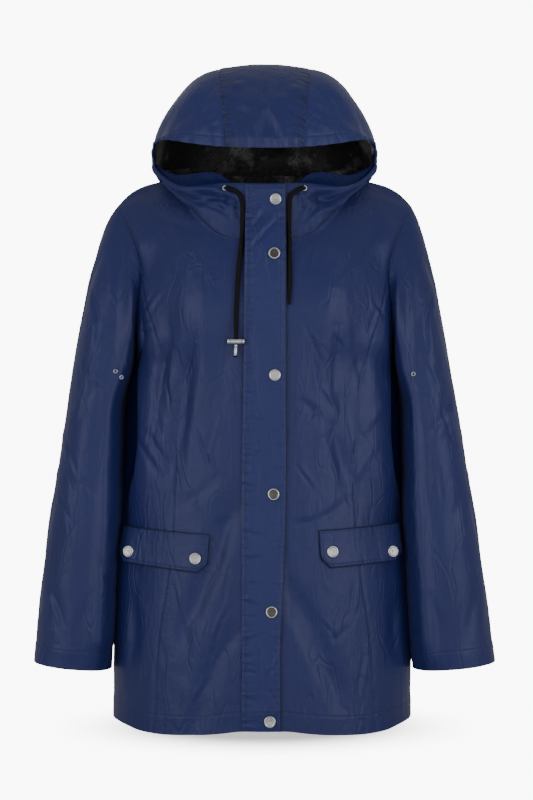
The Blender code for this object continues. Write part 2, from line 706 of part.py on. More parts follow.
def sleeve_point(table, position, angle, side):
    """Point of a sleeve section: angle is 0 at the outer side and 90 at the front."""
    outer = Vector((read_row(table, "outer_x", position), 0.0, read_row(table, "outer_z", position)))
    inner = Vector((read_row(table, "inner_x", position), 0.0, read_row(table, "inner_z", position)))
    round_in = read_row(table, "round_in", position)
    across = math.cos(math.radians(angle))
    ahead = math.sin(math.radians(angle))
    middle = (outer + inner) / 2
    point = middle + (outer - inner) / 2 * across
    depth = read_row(table, "front", position) if ahead > 0 else read_row(table, "back", position)
    point.y = read_row(table, "middle_y", position) - ahead * depth
    point.x -= round_in * abs(ahead)
    point.x *= side
    return point


def sleeve_sheet(side):
    table = SLEEVE_LEFT if side > 0 else SLEEVE_RIGHT
    loop = armhole_loop(side)
    angles = loop_angles()
    plain = [sleeve_point(table, 0.0, angle, side) for angle in angles]
    rows = []
    for ring in range(SLEEVE_RINGS + 1):
        position = (len(table) - 1) * ring / SLEEVE_RINGS
        fade = max(0.0, 1.0 - ring / 4.0) ** 2
        row = []
        for angle, seam, model in zip(angles, loop, plain):
            row.append(sleeve_point(table, position, angle, side) + (seam - model) * fade)
        rows.append(row)
    sheet = Sheet()
    sheet.add_grid(rows, flip=side > 0, closed=True)
    return sheet


# ---------------------------------------------------------------- hood
def brim_rise(share):
    """The brim is highest between its flat middle and its corners; share is 0 at the corner."""
    rise = math.sin(math.pi * math.sqrt(share))
    return BRIM_ARCH * (rise if share < 0.25 else rise * rise)


def rib_point(position, share, side=1):
    """Upper half of a rib: share is 0 at the side and 1 at the crown's middle."""
    side_x = read_row(RIBS, "side_x", position)
    low = Vector((0.0, read_row(RIBS, "side_y", position), read_row(RIBS, "side_z", position)))
    high = Vector((0.0, read_row(RIBS, "crown_y", position), read_row(RIBS, "crown_z", position)))
    angle = 0.5 * math.pi * share
    exponent = 2.0 / HOOD_ROUND
    point = low + (high - low) * abs(math.sin(angle)) ** exponent
    point.x = side * side_x * abs(math.cos(angle)) ** exponent
    point.z += brim_rise(share) * ease(1.0 - position / 1.5)
    return point


def seam_share(position):
    """Share of the rib at which the centre strip's seam crosses it."""
    ratio = read_row(RIBS, "seam_x", position) / read_row(RIBS, "side_x", position)
    return math.acos(ratio ** (HOOD_ROUND / 2.0)) / (0.5 * math.pi)


def under_point(side_place, neck_turn, under, part, side):
    """Lower half of the hood: down from the widest line (0), then in to the neckline (1)."""
    neck = neck_point(neck_turn, side)
    corner = side_place - Vector((0.0, 0.0, under))
    start = side_place.lerp(corner, part)
    return start.lerp(corner.lerp(neck, part), part)


def hood_side_grids(side):
    """Rows of the upper and the lower half of a hood side."""
    last = len(RIBS) - 1
    upper = []
    for row in range(HOOD_UPPER_ROWS + 1):
        part = 1.0 - row / HOOD_UPPER_ROWS
        upper.append([rib_point(p, seam_share(p) * part, side) for p in range(last + 1)])
    edge = [Vector((side * lip.x, lip.y, lip.z)) for lip in LIP[:-1]]
    edge += [rib_point(p, 0.0, side) for p in range(last + 1)]
    turns = column_of(LIP[:-1], "neck_turn") + column_of(RIBS, "neck_turn")
    unders = column_of(LIP[:-1], "under") + column_of(RIBS, "under")
    columns = list(zip(edge, turns, unders))
    lower = []
    for row in range(HOOD_LOWER_ROWS + 1):
        part = row / HOOD_LOWER_ROWS
        lower.append([under_point(place, turn, under, part, side) for place, turn, under in columns])
    return upper, lower


def hood_side_sheet(side):
    upper, lower = hood_side_grids(side)
    sheet = Sheet()
    sheet.add_grid(upper, flip=side < 0)
    sheet.add_grid(lower, flip=side < 0)
    return sheet


def hood_center_rows():
    """Rows across the centre strip, from the brim over the crown down to the back neck."""
    last = len(RIBS) - 1
    rows = []
    for position in range(last + 1):
        edge = seam_share(position)
        shares = [edge, (edge + 1) / 2, 1.0]
        right = [rib_point(position, share, -1) for share in shares]
        left = [rib_point(position, share, 1) for share in shares[1::-1]]
        rows.append(right + left)
    upper, lower = hood_side_grids(1)
    tail = [row[-1] for row in upper[1:]] + [row[-1] for row in lower[1:]]
    arch = rows[-1][2].z - rows[-1][0].z
    for step, place in enumerate(tail, 1):
        fade = max(0.0, 1.0 - step / HOOD_UPPER_ROWS)
        row = []
        for share in (-1.0, -0.5, 0.0, 0.5, 1.0):
            crown = 1 - share * share
            row.append(Vector((place.x * share, place.y + CENTER_CROWN * crown, place.z + arch * fade * crown)))
        rows.append(row)
    rows[-1] = [neck_point(165.0, -1), neck_point(172.5, -1), neck_point(180.0),
                neck_point(172.5, 1), neck_point(165.0, 1)]
    return rows


def hood_center_sheet():
    sheet = Sheet()
    sheet.add_grid(hood_center_rows(), flip=True)
    return sheet


FACING_RIB = 3              # the facing runs from the throat to this rib
FACING_UPPER_ROWS = 2       # rows of the facing above the widest line, at the mouth's corner
# How far the facing stands up behind the lip, one height for each row of LIP.
FACING_RISES = [0.0, 0.0, 0.009, 0.0185, 0.019, 0.012, 0.005, 0.0]
FACING_SET_BACK = 0.35      # how far back it leans for each unit of height


def lining_sheet():
    """Both sides and the centre of the lining in one sheet, behind the facing."""
    sheet = Sheet()
    for side in (-1, 1):
        upper, lower = hood_side_grids(side)
        sheet.add_grid([row[1:] for row in upper], flip=side < 0)
        start = len(LIP) - 1 + FACING_RIB
        sheet.add_grid([row[start:] for row in lower[:-1]], flip=side < 0)
    sheet.add_grid(hood_center_rows()[1:-1], flip=True)
    return sheet


def raised_facing(sheet, places, side):
    """Move the facing's points on the lip up and back; places are those points before they move in."""
    for lip, rise in zip(LIP, FACING_RISES):
        corner = Vector((side * lip.x, lip.y, lip.z))
        for i, place in enumerate(places):
            if (place - corner).length < SAME_POINT:
                sheet.points[i] += Vector((0.0, FACING_SET_BACK * rise, rise))


def facing_sheet(side):
    upper, lower = hood_side_grids(side)
    sheet = Sheet()
    sheet.add_grid([row[:2] for row in upper[-FACING_UPPER_ROWS - 1:]], flip=side < 0)
    end = len(LIP) + FACING_RIB
    sheet.add_grid([row[:end] for row in lower[:-1]], flip=side < 0)
    return sheet


# ---------------------------------------------------------------- objects
def make_material(name, colour, roughness, metallic):
    material = bpy.data.materials.new(name)
    material.use_nodes = True
    shader = material.node_tree.nodes["Principled BSDF"]
    shader.inputs["Base Color"].default_value = colour
    shader.inputs["Roughness"].default_value = roughness
    shader.inputs["Metallic"].default_value = metallic
    return material


def add_object(name, mesh, colour, roughness=0.5, metallic=0.0):
    item = bpy.data.objects.new(name, mesh)
    collection.objects.link(item)
    mesh.materials.clear()
    mesh.materials.append(make_material(name, colour, roughness, metallic))
    mesh.shade_smooth()
    mesh.set_sharp_from_angle(angle=math.radians(40))
    return item


def tree_of(sheets):
    """Search tree over the outer faces of some sheets."""
    points = []
    faces = []
    for sheet in sheets:
        base = len(points)
        points += sheet.points
        faces += [[v + base for v in face] for face in sheet.faces]
    return BVHTree.FromPolygons(points, faces)


def seat(tree, x, z):
    """Point and outward normal where a line from the front meets the coat."""
    place, normal, _, _ = tree.ray_cast(Vector((x, -1.0, z)), Vector((0.0, 1.0, 0.0)))
    if normal.y > 0:
        normal = -normal
    return place, normal


def placket_sheet(tree):
    """Laid over both fronts and the funnel's edges, a little proud of them."""
    reach_across, reach_up = PLACKET_REACH
    rows = []
    for row in range(PLACKET_ROWS + 1):
        z = PLACKET[-1].z + (PLACKET[0].z - PLACKET[-1].z) * row / PLACKET_ROWS
        right_x = read(PLACKET, "z", "right_x", z)
        left_x = read(PLACKET, "z", "left_x", z)
        points = []
        for share in PLACKET_SHARES:
            x = right_x + (left_x - right_x) * share
            low = max(z - reach_up, HEM_Z + EDGE_STEP)
            high = min(z + reach_up, PLACKET[-1].z - EDGE_STEP)
            reach = [seat(tree, x + dx, h)[0].y for dx in (-reach_across, reach_across) for h in (low, high)]
            ahead = min(reach)
            points.append(Vector((x, ahead - PLACKET_LIFT, z)))
        rows.append(points)
    sheet = Sheet()
    sheet.add_grid(rows)
    return sheet


def outline_sheet(tree, outline, side, lift):
    """Four-sided grid inside an outline of six corners, laid on the coat and moved out."""
    top_side, top_mid, mid_low, cut_mid, cut_side, side_low = [Vector((x, z)) for x, z in outline]
    shares = [1 - (1 - c / FLAP_COLUMNS) ** 1.5 for c in range(FLAP_COLUMNS + 1)]
    rows = []
    for row in range(FLAP_ROWS):
        part = row / (FLAP_ROWS - 1)
        inner = top_mid.lerp(mid_low, part)
        outer = top_side.lerp(side_low, part)
        rows.append([inner.lerp(outer, share) for share in shares])
    spans = [(share - shares[1]) / (shares[-2] - shares[1]) for share in shares[1:-1]]
    rows.append([mid_low] + [cut_mid.lerp(cut_side, span) for span in spans] + [side_low])
    grid = []
    for row in rows:
        points = []
        for flat in row:
            place, normal = seat(tree, side * flat.x, flat.y)
            clear = FLAP_STANDS_OFF * ease((flat.x - FLAP_STRAIGHT_X) / (outline[0][0] - FLAP_STRAIGHT_X))
            points.append(place + normal * lift - Vector((0.0, clear, 0.0)))
        grid.append(points)
    sheet = Sheet()
    sheet.add_grid(grid, flip=side < 0)
    return sheet


def turned_mesh(name, profile, sides):
    """Turned solid about Z from a closed profile of (radius, height) that starts on the axis."""
    curve = bpy.data.meshes.new(name)
    curve.from_pydata([(r, 0.0, z) for r, z in profile], [(i, i + 1) for i in range(len(profile) - 1)], [])
    item = bpy.data.objects.new(name + "_turn", curve)
    collection.objects.link(item)
    screw = item.modifiers.new("turn", "SCREW")
    screw.steps = sides
    screw.render_steps = sides
    screw.use_merge_vertices = True
    screw.merge_threshold = MERGE
    depsgraph = bpy.context.evaluated_depsgraph_get()
    mesh = bpy.data.meshes.new_from_object(item.evaluated_get(depsgraph))
    bpy.data.objects.remove(item)
    bpy.data.meshes.remove(curve)
    work = bmesh.new()
    work.from_mesh(mesh)
    bmesh.ops.remove_doubles(work, verts=work.verts, dist=MERGE)
    bmesh.ops.recalc_face_normals(work, faces=work.faces)
    work.to_mesh(mesh)
    work.free()
    return mesh


def place_on(item, place, normal):
    """Stand a turned piece on a surface, its +Z along the normal."""
    turn = normal.to_track_quat("Z", "Y").to_matrix().to_4x4()
    item.matrix_world = Matrix.Translation(place) @ turn


def add_snap(name, place, normal):
    radius = SNAP_DIAMETER / 2
    profile = [
        (0.0, SNAP_HEIGHT * 0.65), (radius * 0.66, SNAP_HEIGHT * 0.65), (radius * 0.78, SNAP_HEIGHT),
        (radius * 0.93, SNAP_HEIGHT * 0.85), (radius, SNAP_HEIGHT * 0.3), (radius * 0.96, 0.0), (0.0, 0.0),
    ]
    item = add_object(name, turned_mesh(name, profile, SNAP_SIDES), STEEL, 0.3, 1.0)
    place_on(item, place + normal * SEAM_GAP, normal)
    return item


def add_eyelet(name, place, normal, scale=1.0):
    """Metal ring lying on the cloth."""
    outer = EYELET_OUTER * scale
    hole = EYELET_HOLE * scale
    middle = (outer + hole) / 2
    profile = [
        (outer, 0.0), (outer, EYELET_HEIGHT * 0.4), (middle, EYELET_HEIGHT), (hole, EYELET_HEIGHT * 0.5),
        (hole, 0.0), (outer, 0.0),
    ]
    item = add_object(name, turned_mesh(name, profile, EYELET_SIDES), STEEL, 0.35, 1.0)
    place_on(item, place + normal * SEAM_GAP * 1.5, normal)
    return item


def smooth_route(route, spacing):
    """Points at an even spacing on a smooth curve through the route."""
    fine = []
    for i in range(len(route) - 1):
        before = route[max(i - 1, 0)]
        start = route[i]
        end = route[i + 1]
        after = route[min(i + 2, len(route) - 1)]
        for step in range(ROUTE_STEPS):
            t = step / ROUTE_STEPS
            fine.append(hermite(start, (end - before) / 2, end, (after - start) / 2, t))
    fine.append(route[-1])
    lengths = [0.0]
    for a, b in zip(fine, fine[1:]):
        lengths.append(lengths[-1] + (b - a).length)
    count = max(2, round(lengths[-1] / spacing))
    result = []
    for i in range(count + 1):
        goal = lengths[-1] * i / count
        result.append(Vector([np.interp(goal, lengths, [p[axis] for p in fine]) for axis in range(3)]))
    return result


def tube_mesh(name, points, diameter):
    """Round cord with closed ends, made a mesh."""
    curve = bpy.data.curves.new(name, "CURVE")
    curve.dimensions = "3D"
    spline = curve.splines.new("POLY")
    spline.points.add(len(points) - 1)
    for target, place in zip(spline.points, points):
        target.co = (*place, 1.0)
    curve.bevel_depth = diameter / 2
    curve.bevel_resolution = 2
    curve.use_fill_caps = True
    item = bpy.data.objects.new(name + "_curve", curve)
    collection.objects.link(item)
    depsgraph = bpy.context.evaluated_depsgraph_get()
    mesh = bpy.data.meshes.new_from_object(item.evaluated_get(depsgraph))
    bpy.data.objects.remove(item)
    work = bmesh.new()
    work.from_mesh(mesh)
    bmesh.ops.remove_doubles(work, verts=work.verts, dist=MERGE)
    bmesh.ops.recalc_face_normals(work, faces=work.faces)
    work.to_mesh(mesh)
    work.free()
    return mesh


SNAP_SIDES = 16
EYELET_SIDES = 14
STOP_SIDES = 14
TIP_SIDES = 12


# ---------------------------------------------------------------- build
for old in list(bpy.data.objects):
    bpy.data.objects.remove(old)
collection = bpy.data.collections.new("hooded_raincoat")
bpy.context.scene.collection.children.link(collection)

cloth_sheets = {
    "front_right": front_sheet(-1),
    "front_left": front_sheet(1),
    "front_right_side": side_sheet(-1),
    "front_left_side": side_sheet(1),
    "back": back_sheet(),
    "sleeve_right": sleeve_sheet(-1),
    "sleeve_left": sleeve_sheet(1),
    "hood_right": hood_side_sheet(-1),
    "hood_left": hood_side_sheet(1),
    "hood_center": hood_center_sheet(),
}
outward = shared_normals(cloth_sheets)
for sheet_name, sheet in cloth_sheets.items():
    add_object(sheet_name, wall_mesh(sheet_name, sheet, outward[sheet_name], CLOTH), NAVY)

lining_sheets = {
    "hood_lining": lining_sheet(),
    "hood_facing_right": facing_sheet(-1),
    "hood_facing_left": facing_sheet(1),
}
hood_normals = normals_by_place(cloth_sheets, outward, ("hood_right", "hood_left", "hood_center"))
for sheet_name, sheet in lining_sheets.items():
    colour = BLACK if sheet_name == "hood_lining" else NAVY_FACING
    places = sheet.points
    normals = [hood_normals[seam_key(point)] for point in places]
    sheet = moved_in(sheet, normals, LINING_INSET)
    if sheet_name != "hood_lining":
        raised_facing(sheet, places, 1 if sheet_name == "hood_facing_left" else -1)
    add_object(sheet_name, wall_mesh(sheet_name, sheet, normals, LINING_CLOTH), colour, 0.8)

front_names = ("front_right", "front_left", "front_right_side", "front_left_side", "hood_right", "hood_left")
coat_tree = tree_of([cloth_sheets[n] for n in front_names])
sleeve_tree = tree_of([cloth_sheets["sleeve_right"], cloth_sheets["sleeve_left"]])

placket = placket_sheet(coat_tree)
add_object("placket", wall_mesh("placket", placket, placket.normals(), CLOTH), NAVY)
placket_tree = tree_of([placket])
for number, (x, z) in enumerate(PLACKET_SNAPS, 1):
    add_snap(f"snap_placket_{number}", *seat(placket_tree, x, z))

for side, side_name, outline, snaps in (
        (-1, "right", FLAP_OUTLINE_RIGHT, FLAP_SNAPS_RIGHT), (1, "left", FLAP_OUTLINE_LEFT, FLAP_SNAPS_LEFT)):
    flap = outline_sheet(coat_tree, outline, side, FLAP_LIFT)
    flap_name = f"pocket_flap_{side_name}"
    add_object(flap_name, wall_mesh(flap_name, flap, flap.normals(), CLOTH), NAVY)
    flap_tree = tree_of([flap])
    for number, (x, z) in enumerate(snaps, 1):
        add_snap(f"snap_flap_{side_name}_{number}", *seat(flap_tree, side * x, z))

for side_name, (x, z) in CORD_EYELETS.items():
    add_eyelet(f"eyelet_cord_{side_name}", *seat(coat_tree, x, z))
for eyelet_name, (x, z) in SLEEVE_EYELETS.items():
    add_eyelet(eyelet_name, *seat(sleeve_tree, x, z), SLEEVE_EYELET_SCALE)

for side_name, route in CORD_ROUTES.items():
    cord_name = f"drawcord_{side_name}"
    points = smooth_route([Vector(place) for place in route], CORD_STEP)
    add_object(cord_name, tube_mesh(cord_name, points, CORD_DIAMETER), BLACK, 0.8)

end = Vector(CORD_ROUTES["right"][-1])
bar_profile = [
    (0.0, 0.0), (STOP_RADIUS * 0.85, 0.0), (STOP_RADIUS, STOP_LENGTH * 0.05),
    (STOP_RADIUS, STOP_LENGTH * 0.95), (STOP_RADIUS * 0.85, STOP_LENGTH), (0.0, STOP_LENGTH),
]
stop = add_object("cord_stop", turned_mesh("cord_stop", bar_profile, STOP_SIDES), STEEL, 0.3, 1.0)
bar_middle = end - Vector((0.0, 0.0, STOP_RADIUS + SEAM_GAP))
place_on(stop, bar_middle - Vector((STOP_LENGTH / 2, 0.0, 0.0)), Vector((1.0, 0.0, 0.0)))
tip_profile = [
    (0.0, 0.0), (TIP_RADIUS * 0.8, 0.0), (TIP_RADIUS, TIP_LENGTH * 0.06), (TIP_RADIUS, TIP_LENGTH * 0.94),
    (TIP_RADIUS * 0.8, TIP_LENGTH), (0.0, TIP_LENGTH),
]
TIP_LEAN = Vector((-0.05, 0.0, -1.0))
tip = add_object("cord_tip", turned_mesh("cord_tip", tip_profile, TIP_SIDES), STEEL, 0.3, 1.0)
place_on(tip, bar_middle - Vector((0.0, 0.0, STOP_RADIUS + SEAM_GAP)), TIP_LEAN)
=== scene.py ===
"""Looks of the hooded raincoat: fine cloth shells with folds, seams and stitching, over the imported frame."""
import math

import bmesh
import bpy
import numpy as np
from mathutils import Matrix, Vector
from mathutils.bvhtree import BVHTree


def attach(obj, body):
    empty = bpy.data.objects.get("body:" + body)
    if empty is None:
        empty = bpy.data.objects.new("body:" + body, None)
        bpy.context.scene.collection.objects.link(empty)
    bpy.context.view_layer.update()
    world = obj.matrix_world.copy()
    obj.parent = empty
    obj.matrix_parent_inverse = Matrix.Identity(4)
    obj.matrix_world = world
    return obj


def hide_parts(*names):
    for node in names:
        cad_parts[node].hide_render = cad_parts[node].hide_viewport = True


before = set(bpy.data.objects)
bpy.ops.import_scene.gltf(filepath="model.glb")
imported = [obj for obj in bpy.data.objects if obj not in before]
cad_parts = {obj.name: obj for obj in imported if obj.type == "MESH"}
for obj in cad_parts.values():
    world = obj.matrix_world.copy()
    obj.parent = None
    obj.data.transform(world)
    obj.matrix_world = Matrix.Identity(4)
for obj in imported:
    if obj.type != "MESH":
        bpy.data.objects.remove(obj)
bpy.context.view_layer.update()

# ---------------------------------------------------------------- camera
camera = bpy.data.objects.new("camera", bpy.data.cameras.new("camera"))
bpy.context.scene.collection.objects.link(camera)
camera.location = (0.0027, -2.2, -0.307)
camera.rotation_euler = (math.radians(90.0), 0.0, 0.0)
camera.data.sensor_width = 36.0
camera.data.lens = 72.8
bpy.context.scene.camera = camera


# ---------------------------------------------------------------- numbers shared with the solids
def rows_of(text):
    """Rows of numbers, one on each line or between bars."""
    return [[float(n) for n in row.split()] for row in text.replace("\n", "|").split("|") if row.strip()]


def metres(text, plain=0):
    """A table.  Its first plain columns stay as they are, and the others are in millimetres."""
    rows = np.array(rows_of(text))
    rows[:, plain:] /= 1000.0
    return rows


def crease_table(text):
    """Creases from rows of half width, depth, ridge and the line's places, lengths in millimetres."""
    return [([(a / 1000.0, b / 1000.0) for a, b in zip(line[::2], line[1::2])], width / 1000.0, depth / 1000.0, ridge)
            for width, depth, ridge, *line in rows_of(text)]


SIDES = ((-1, "right"), (1, "left"))
CHEST_Z, UNDERARM_Z, HEM_Z = -0.147, -0.233, -0.730
FRONT_ROUND, BACK_ROUND, HOOD_ROUND = 2.4, 2.3, 2.25
NECK_HALF_WIDTH, NECK_MIDDLE_Y, NECK_HALF_DEPTH = 0.103, -0.019, 0.094
SHOULDER_TIP = np.array((0.199, 0.0, -0.042))
BACK_ARMHOLE_TURN = 116.0
TOP_PULL = 0.75
BRIM_ARCH = 0.022

# z, half width right, half width left, front, back, widest y
LEVELS = metres("""
    -730 207 200 124 122 30 | -640 207 200.5 123 118 40 | -530 205 197.5 121 112 44
    -450 200.5 193.5 120 107 44 | -350 197 191 121 102 48 | -290 191.2 187.2 124 100 52
    -256 180.6 179 126 101 42 | -233 172 173 127 102 6 | -190 172 173 128 104 5 | -147 172 174 124 104 5""")
# turn, how much lower the hem hangs
HEM_SHAPE = metres("""
    0 3 | 6 3 | 12 6 | 18 8.3 | 27 10.1 | 36 11.2 | 44 10.8 | 50 9.9 | 57 7.4 | 67 5.6 | 78 5.6 | 90 6.2
    120 7.5 | 150 6 | 180 4.5""", 1)
HEM_FADE_Z = -0.590
# z, x
PRINCESS = metres("""
    -730 146 | -600 137 | -545 128 | -463 120 | -350 120 | -285 125 | -222 138 | -183 150 | -147 161""")
# turn, z
NECKLINE = metres("""
    0 -101 | 14 -98.5 | 28 -90 | 38 -79 | 50 -66 | 62 -56 | 76 -41 | 90 -14 | 100 2 | 112 5 | 140 6 | 180 5""", 1)
# x, z
SHOULDER = metres("""
    100 2 | 125 -6.5 | 146 -11.5 | 164 -16.5 | 182 -26 | 199 -42""")
# place, then the direction x, y, z
FRONT_LEANS = metres("""
    0 0 -.25 -1 | .45 .45 -.5 -.75 | .75 .83 -.42 -.47 | .9 .79 -.5 -.57 | 1 .64 -.74 -.62 | 1.27 .18 -1 -.47
    2 0 -1 -.18""", 4)
BACK_LEANS = metres("""
    0 0 .45 -.85 | .5 .3 .62 -.7 | .85 .5 .66 -.55 | 1 .42 .8 -.5 | 1.27 .1 1 -.42 | 2 0 1 -.18""", 4)
# turn at the top, turn at the bottom, half width in degrees, top z, bottom z, depth
FOLDS = metres("""
    -63 -66 6 -215 -470 7 | 66 69 5 -215 -440 6 | -28 -32 5 -240 -400 4 | -42 -42 4 -215 -370 3
    -8 -26 5.5 -440 -610 5 | -9 -23 5 -600 -730 3.5 | 29 31 5 -205 -340 3 | 24 33 5 -330 -440 3.5
    9 25 5 -560 -690 5 | 128 134 7 -230 -560 5 | 156 150 7 -300 -640 4 | -131 -126 7 -220 -520 5
    -160 -166 7 -260 -600 4""", 3)
# neck turn, x, y, z, drop under
LIP = metres("""
    0 0 -112.5 -27.5 34 | 14.6 26 -112 -27 33 | 26 52 -108.5 -26.5 30 | 37 77 -103 -28 22 | 47 98 -94 -29.5 16
    57 118 -78 -23 14 | 66 137 -57 -8 19 | 75 149 -40 8 24""", 1)
# neck turn, side x y z, crown y z, seam x, drop under
RIBS = metres("""
    75 149 -40 8 -150 13 50 24 | 88 152 -18 14 -146 50 53 25 | 100 152 5 16 -132 84 56 24
    109 151 28 17 -105 114 58 27 | 118 147 52 18 -66 135 59 33 | 127.5 138 75 19 -20 143.5 59 40
    137 121 94 20 30 141.5 58 46 | 146 99 108 21 76 125 55 49 | 155.5 74 117 22 108 96 49 50
    165 50 121 22 126 60 41 50""", 1)
# outer x z, inner x z
SLEEVE_EDGES = {
    -1: metres("""
        199 -42 172 -233 | 213 -64 175.5 -243 | 225 -98 178.5 -255 | 236 -145 182 -272 | 247 -200 186.5 -292
        258 -262 189 -322 | 267 -325 190 -355 | 277 -395 191 -400 | 288 -462 194 -465 | 297 -530 198 -532
        304 -600 201.5 -602 | 309 -656 205 -666"""),
    1: metres("""
        199 -42 173 -233 | 209 -64 176 -243 | 219 -98 178.5 -255 | 229 -145 181 -272 | 239 -200 182.5 -292
        250 -262 183.5 -322 | 261 -325 184 -355 | 272 -395 185 -400 | 283 -462 187 -465 | 293 -530 191 -532
        302 -600 195 -602 | 309 -656 199 -666"""),
}
# front, back, middle y, round in
SLEEVE_DEPTHS = metres("""
    58 55 0 24 | 66 66 -1 13 | 72 72 -3 6 | 75 74 -6 2 | 74 73 -10 0 | 70 70 -14 0 | 66 66 -18 0 | 62 61 -21 0
    59 56 -23 0 | 56 52 -25 0 | 53 49 -26 0 | 51 47 -26 0""")
SLEEVES = {side: np.hstack([edges, SLEEVE_DEPTHS]) for side, edges in SLEEVE_EDGES.items()}
# z, right edge, left edge
PLACKET = metres("""
    -732.5 -29 21.5 | -600 -29 22 | -545 -29 24.7 | -410 -29 28.7 | -307 -27.2 28.3 | -144 -25.4 28.1
    -28.5 -24.5 28""")
PLACKET_SNAPS = metres("""
    14.4 -48 | 12.7 -119 | 13.5 -275 | 11.7 -428 | 9.2 -579 | 7 -719.5""")
# Each flap's corners for |x| and z: top side, top middle, then along the lower edge from the middle to the side.
FLAPS = {
    -1: metres("""
        186 -473.5 | 70 -480 | 73.5 -519 | 87 -530 | 183 -521 | 191 -507"""),
    1: metres("""
        177 -469.5 | 69.5 -475 | 72.5 -511 | 85 -524 | 170 -519 | 180 -507"""),
}
FLAP_SNAPS = {-1: metres("179.2 -506.2 | 89.2 -511.5"), 1: metres("87.9 -502.5 | 169 -506.2")}
CORD_EYELETS = {"right": (-0.0505, -0.033), "left": (0.0516, -0.033)}
SLEEVE_EYELETS = {
    "eyelet_sleeve_right_1": (-0.1878, -0.277), "eyelet_sleeve_right_2": (-0.1948, -0.2695),
    "eyelet_sleeve_left_1": (0.1948, -0.273),
}
CORD_DIAMETER = 0.006
CORD_ROUTES = {
    "right": metres("""
        -50.5 -114.8 -33 | -44 -115 -35 | -33.3 -115.5 -40.6 | -28.5 -115.5 -51.5 | -28.3 -115.6 -73.3
        -28.9 -116.5 -97.9 | -30.3 -120.9 -113.8 | -32.4 -126.1 -132.5 | -33.7 -129.4 -152.5 | -35 -131.2 -176
        -35.9 -133.5 -199.9 | -36.3 -135.7 -228.3""").tolist(),
    "left": metres("""
        51.6 -114.8 -33 | 46 -115 -35 | 39.8 -115.2 -38.7 | 33.5 -115.5 -45.4 | 32 -115.5 -63.5
        31.8 -115.5 -88 | 32 -120.8 -112.5 | 32.4 -126.2 -132.5 | 32.5 -129.6 -152.5 | 32.2 -131.2 -170
        31.8 -132.4 -185""").tolist(),
}
STOP_RADIUS, STOP_LENGTH, TIP_RADIUS, TIP_LENGTH, GAP = 0.0036, 0.0215, 0.0025, 0.0165, 0.0003


# ---------------------------------------------------------------- curves and the coat's surface
def curve(keys, values):
    """Cubic curve through a table, with slopes from its neighbours."""
    keys = np.asarray(keys, float)
    values = np.asarray(values, float)
    if keys[0] > keys[-1]:
        keys, values = keys[::-1], values[::-1]
    slopes = np.gradient(values, keys)

    def at(key):
        key = np.asarray(key, float)
        i = np.clip(np.searchsorted(keys, key) - 1, 0, len(keys) - 2)
        span = keys[i + 1] - keys[i]
        t = np.clip((key - keys[i]) / span, 0.0, 1.0)
        return ((1 + 2 * t) * (1 - t) ** 2 * values[i] + t * (1 - t) ** 2 * span * slopes[i]
                + t * t * (3 - 2 * t) * values[i + 1] + t * t * (t - 1) * span * slopes[i + 1])
    return at


def curves_of(table):
    """A curve for each column after the first."""
    return [curve(table[:, 0], column) for column in table.T[1:]]


def at_rows(table, position):
    """A table's columns at a place counted in its rows."""
    return [curve(np.arange(len(table)), column)(position) for column in table.T]


def stack(x, y, z):
    return np.stack(np.broadcast_arrays(x, y, z), -1)


def ease(t):
    t = np.clip(t, 0.0, 1.0)
    return t * t * (3 - 2 * t)


def unit(v):
    return v / np.maximum(np.linalg.norm(v, axis=-1, keepdims=True), 1e-12)


def hump(value, middle, width):
    """1 at the middle, and near 0 past twice the width."""
    return np.exp(-((value - middle) / width) ** 2)


def in_row(start, end, count):
    return np.linspace(start, end, count)[None, :]


def in_column(start, end, count):
    return np.linspace(start, end, count)[:, None]


half_right, half_left, front_depth, back_depth, widest_y = curves_of(LEVELS)
princess_x = curve(*PRINCESS.T)
hem_drop = curve(*HEM_SHAPE.T)
neck_z = curve(*NECKLINE.T)
shoulder_z = curve(*SHOULDER.T)


def fold_depth(turn, z):
    total = 0.0
    for turn_top, turn_low, half_width, z_top, z_low, depth in FOLDS:
        along = (z - z_top) / (z_low - z_top)
        across = (turn - turn_top - (turn_low - turn_top) * along) / half_width
        fade = ease((along + 0.25) / 0.5) * ease((1.25 - along) / 0.5)
        total = total + depth * fade * (1.0 - 0.55 * across ** 2) * np.exp(-across ** 2)
    return total


def body(turn, z):
    turn, z = np.broadcast_arrays(turn, z)
    angle = np.radians(turn)
    side, ahead = np.sin(angle), np.cos(angle)
    half = np.where(side > 0, half_left(z), half_right(z))
    widest = widest_y(z)
    power = np.where(ahead >= 0, 2.0 / FRONT_ROUND, 2.0 / BACK_ROUND)
    depth = np.where(ahead >= 0, -(front_depth(z) + widest), back_depth(z) - widest)
    x = half * np.sign(side) * np.abs(side) ** power
    y = widest + depth * np.abs(ahead) ** power
    outward = unit(stack(x / half ** 2, (y - widest) / depth ** 2, 0.0 * x))
    bust = 0.011 * np.exp(-((np.abs(turn) - 27.0) / 15.0) ** 2 - ((z + 0.180) / 0.062) ** 2)
    low = z - hem_drop(np.abs(turn)) * ease((HEM_FADE_Z - z) / (HEM_FADE_Z - HEM_Z))
    return stack(x, y, low) + outward * (bust - fold_depth(turn, z))[..., None]


def turn_at(x, z):
    half = np.where(x > 0, half_left(z), half_right(z))
    ratio = np.minimum(np.abs(x) / half, 1.0) ** (FRONT_ROUND / 2.0)
    return np.sign(x) * np.degrees(np.arcsin(ratio))


def princess_turn(z, side):
    return turn_at(side * princess_x(z), z)


def armhole_arc(part, side, front):
    start = abs(princess_turn(CHEST_Z, side)) if front else BACK_ARMHOLE_TURN
    quarter = 0.5 * math.pi * part
    turn = start + (90.0 - start) * (1 - np.cos(quarter))
    return body(side * turn, CHEST_Z + (UNDERARM_Z - CHEST_Z) * np.sin(quarter))


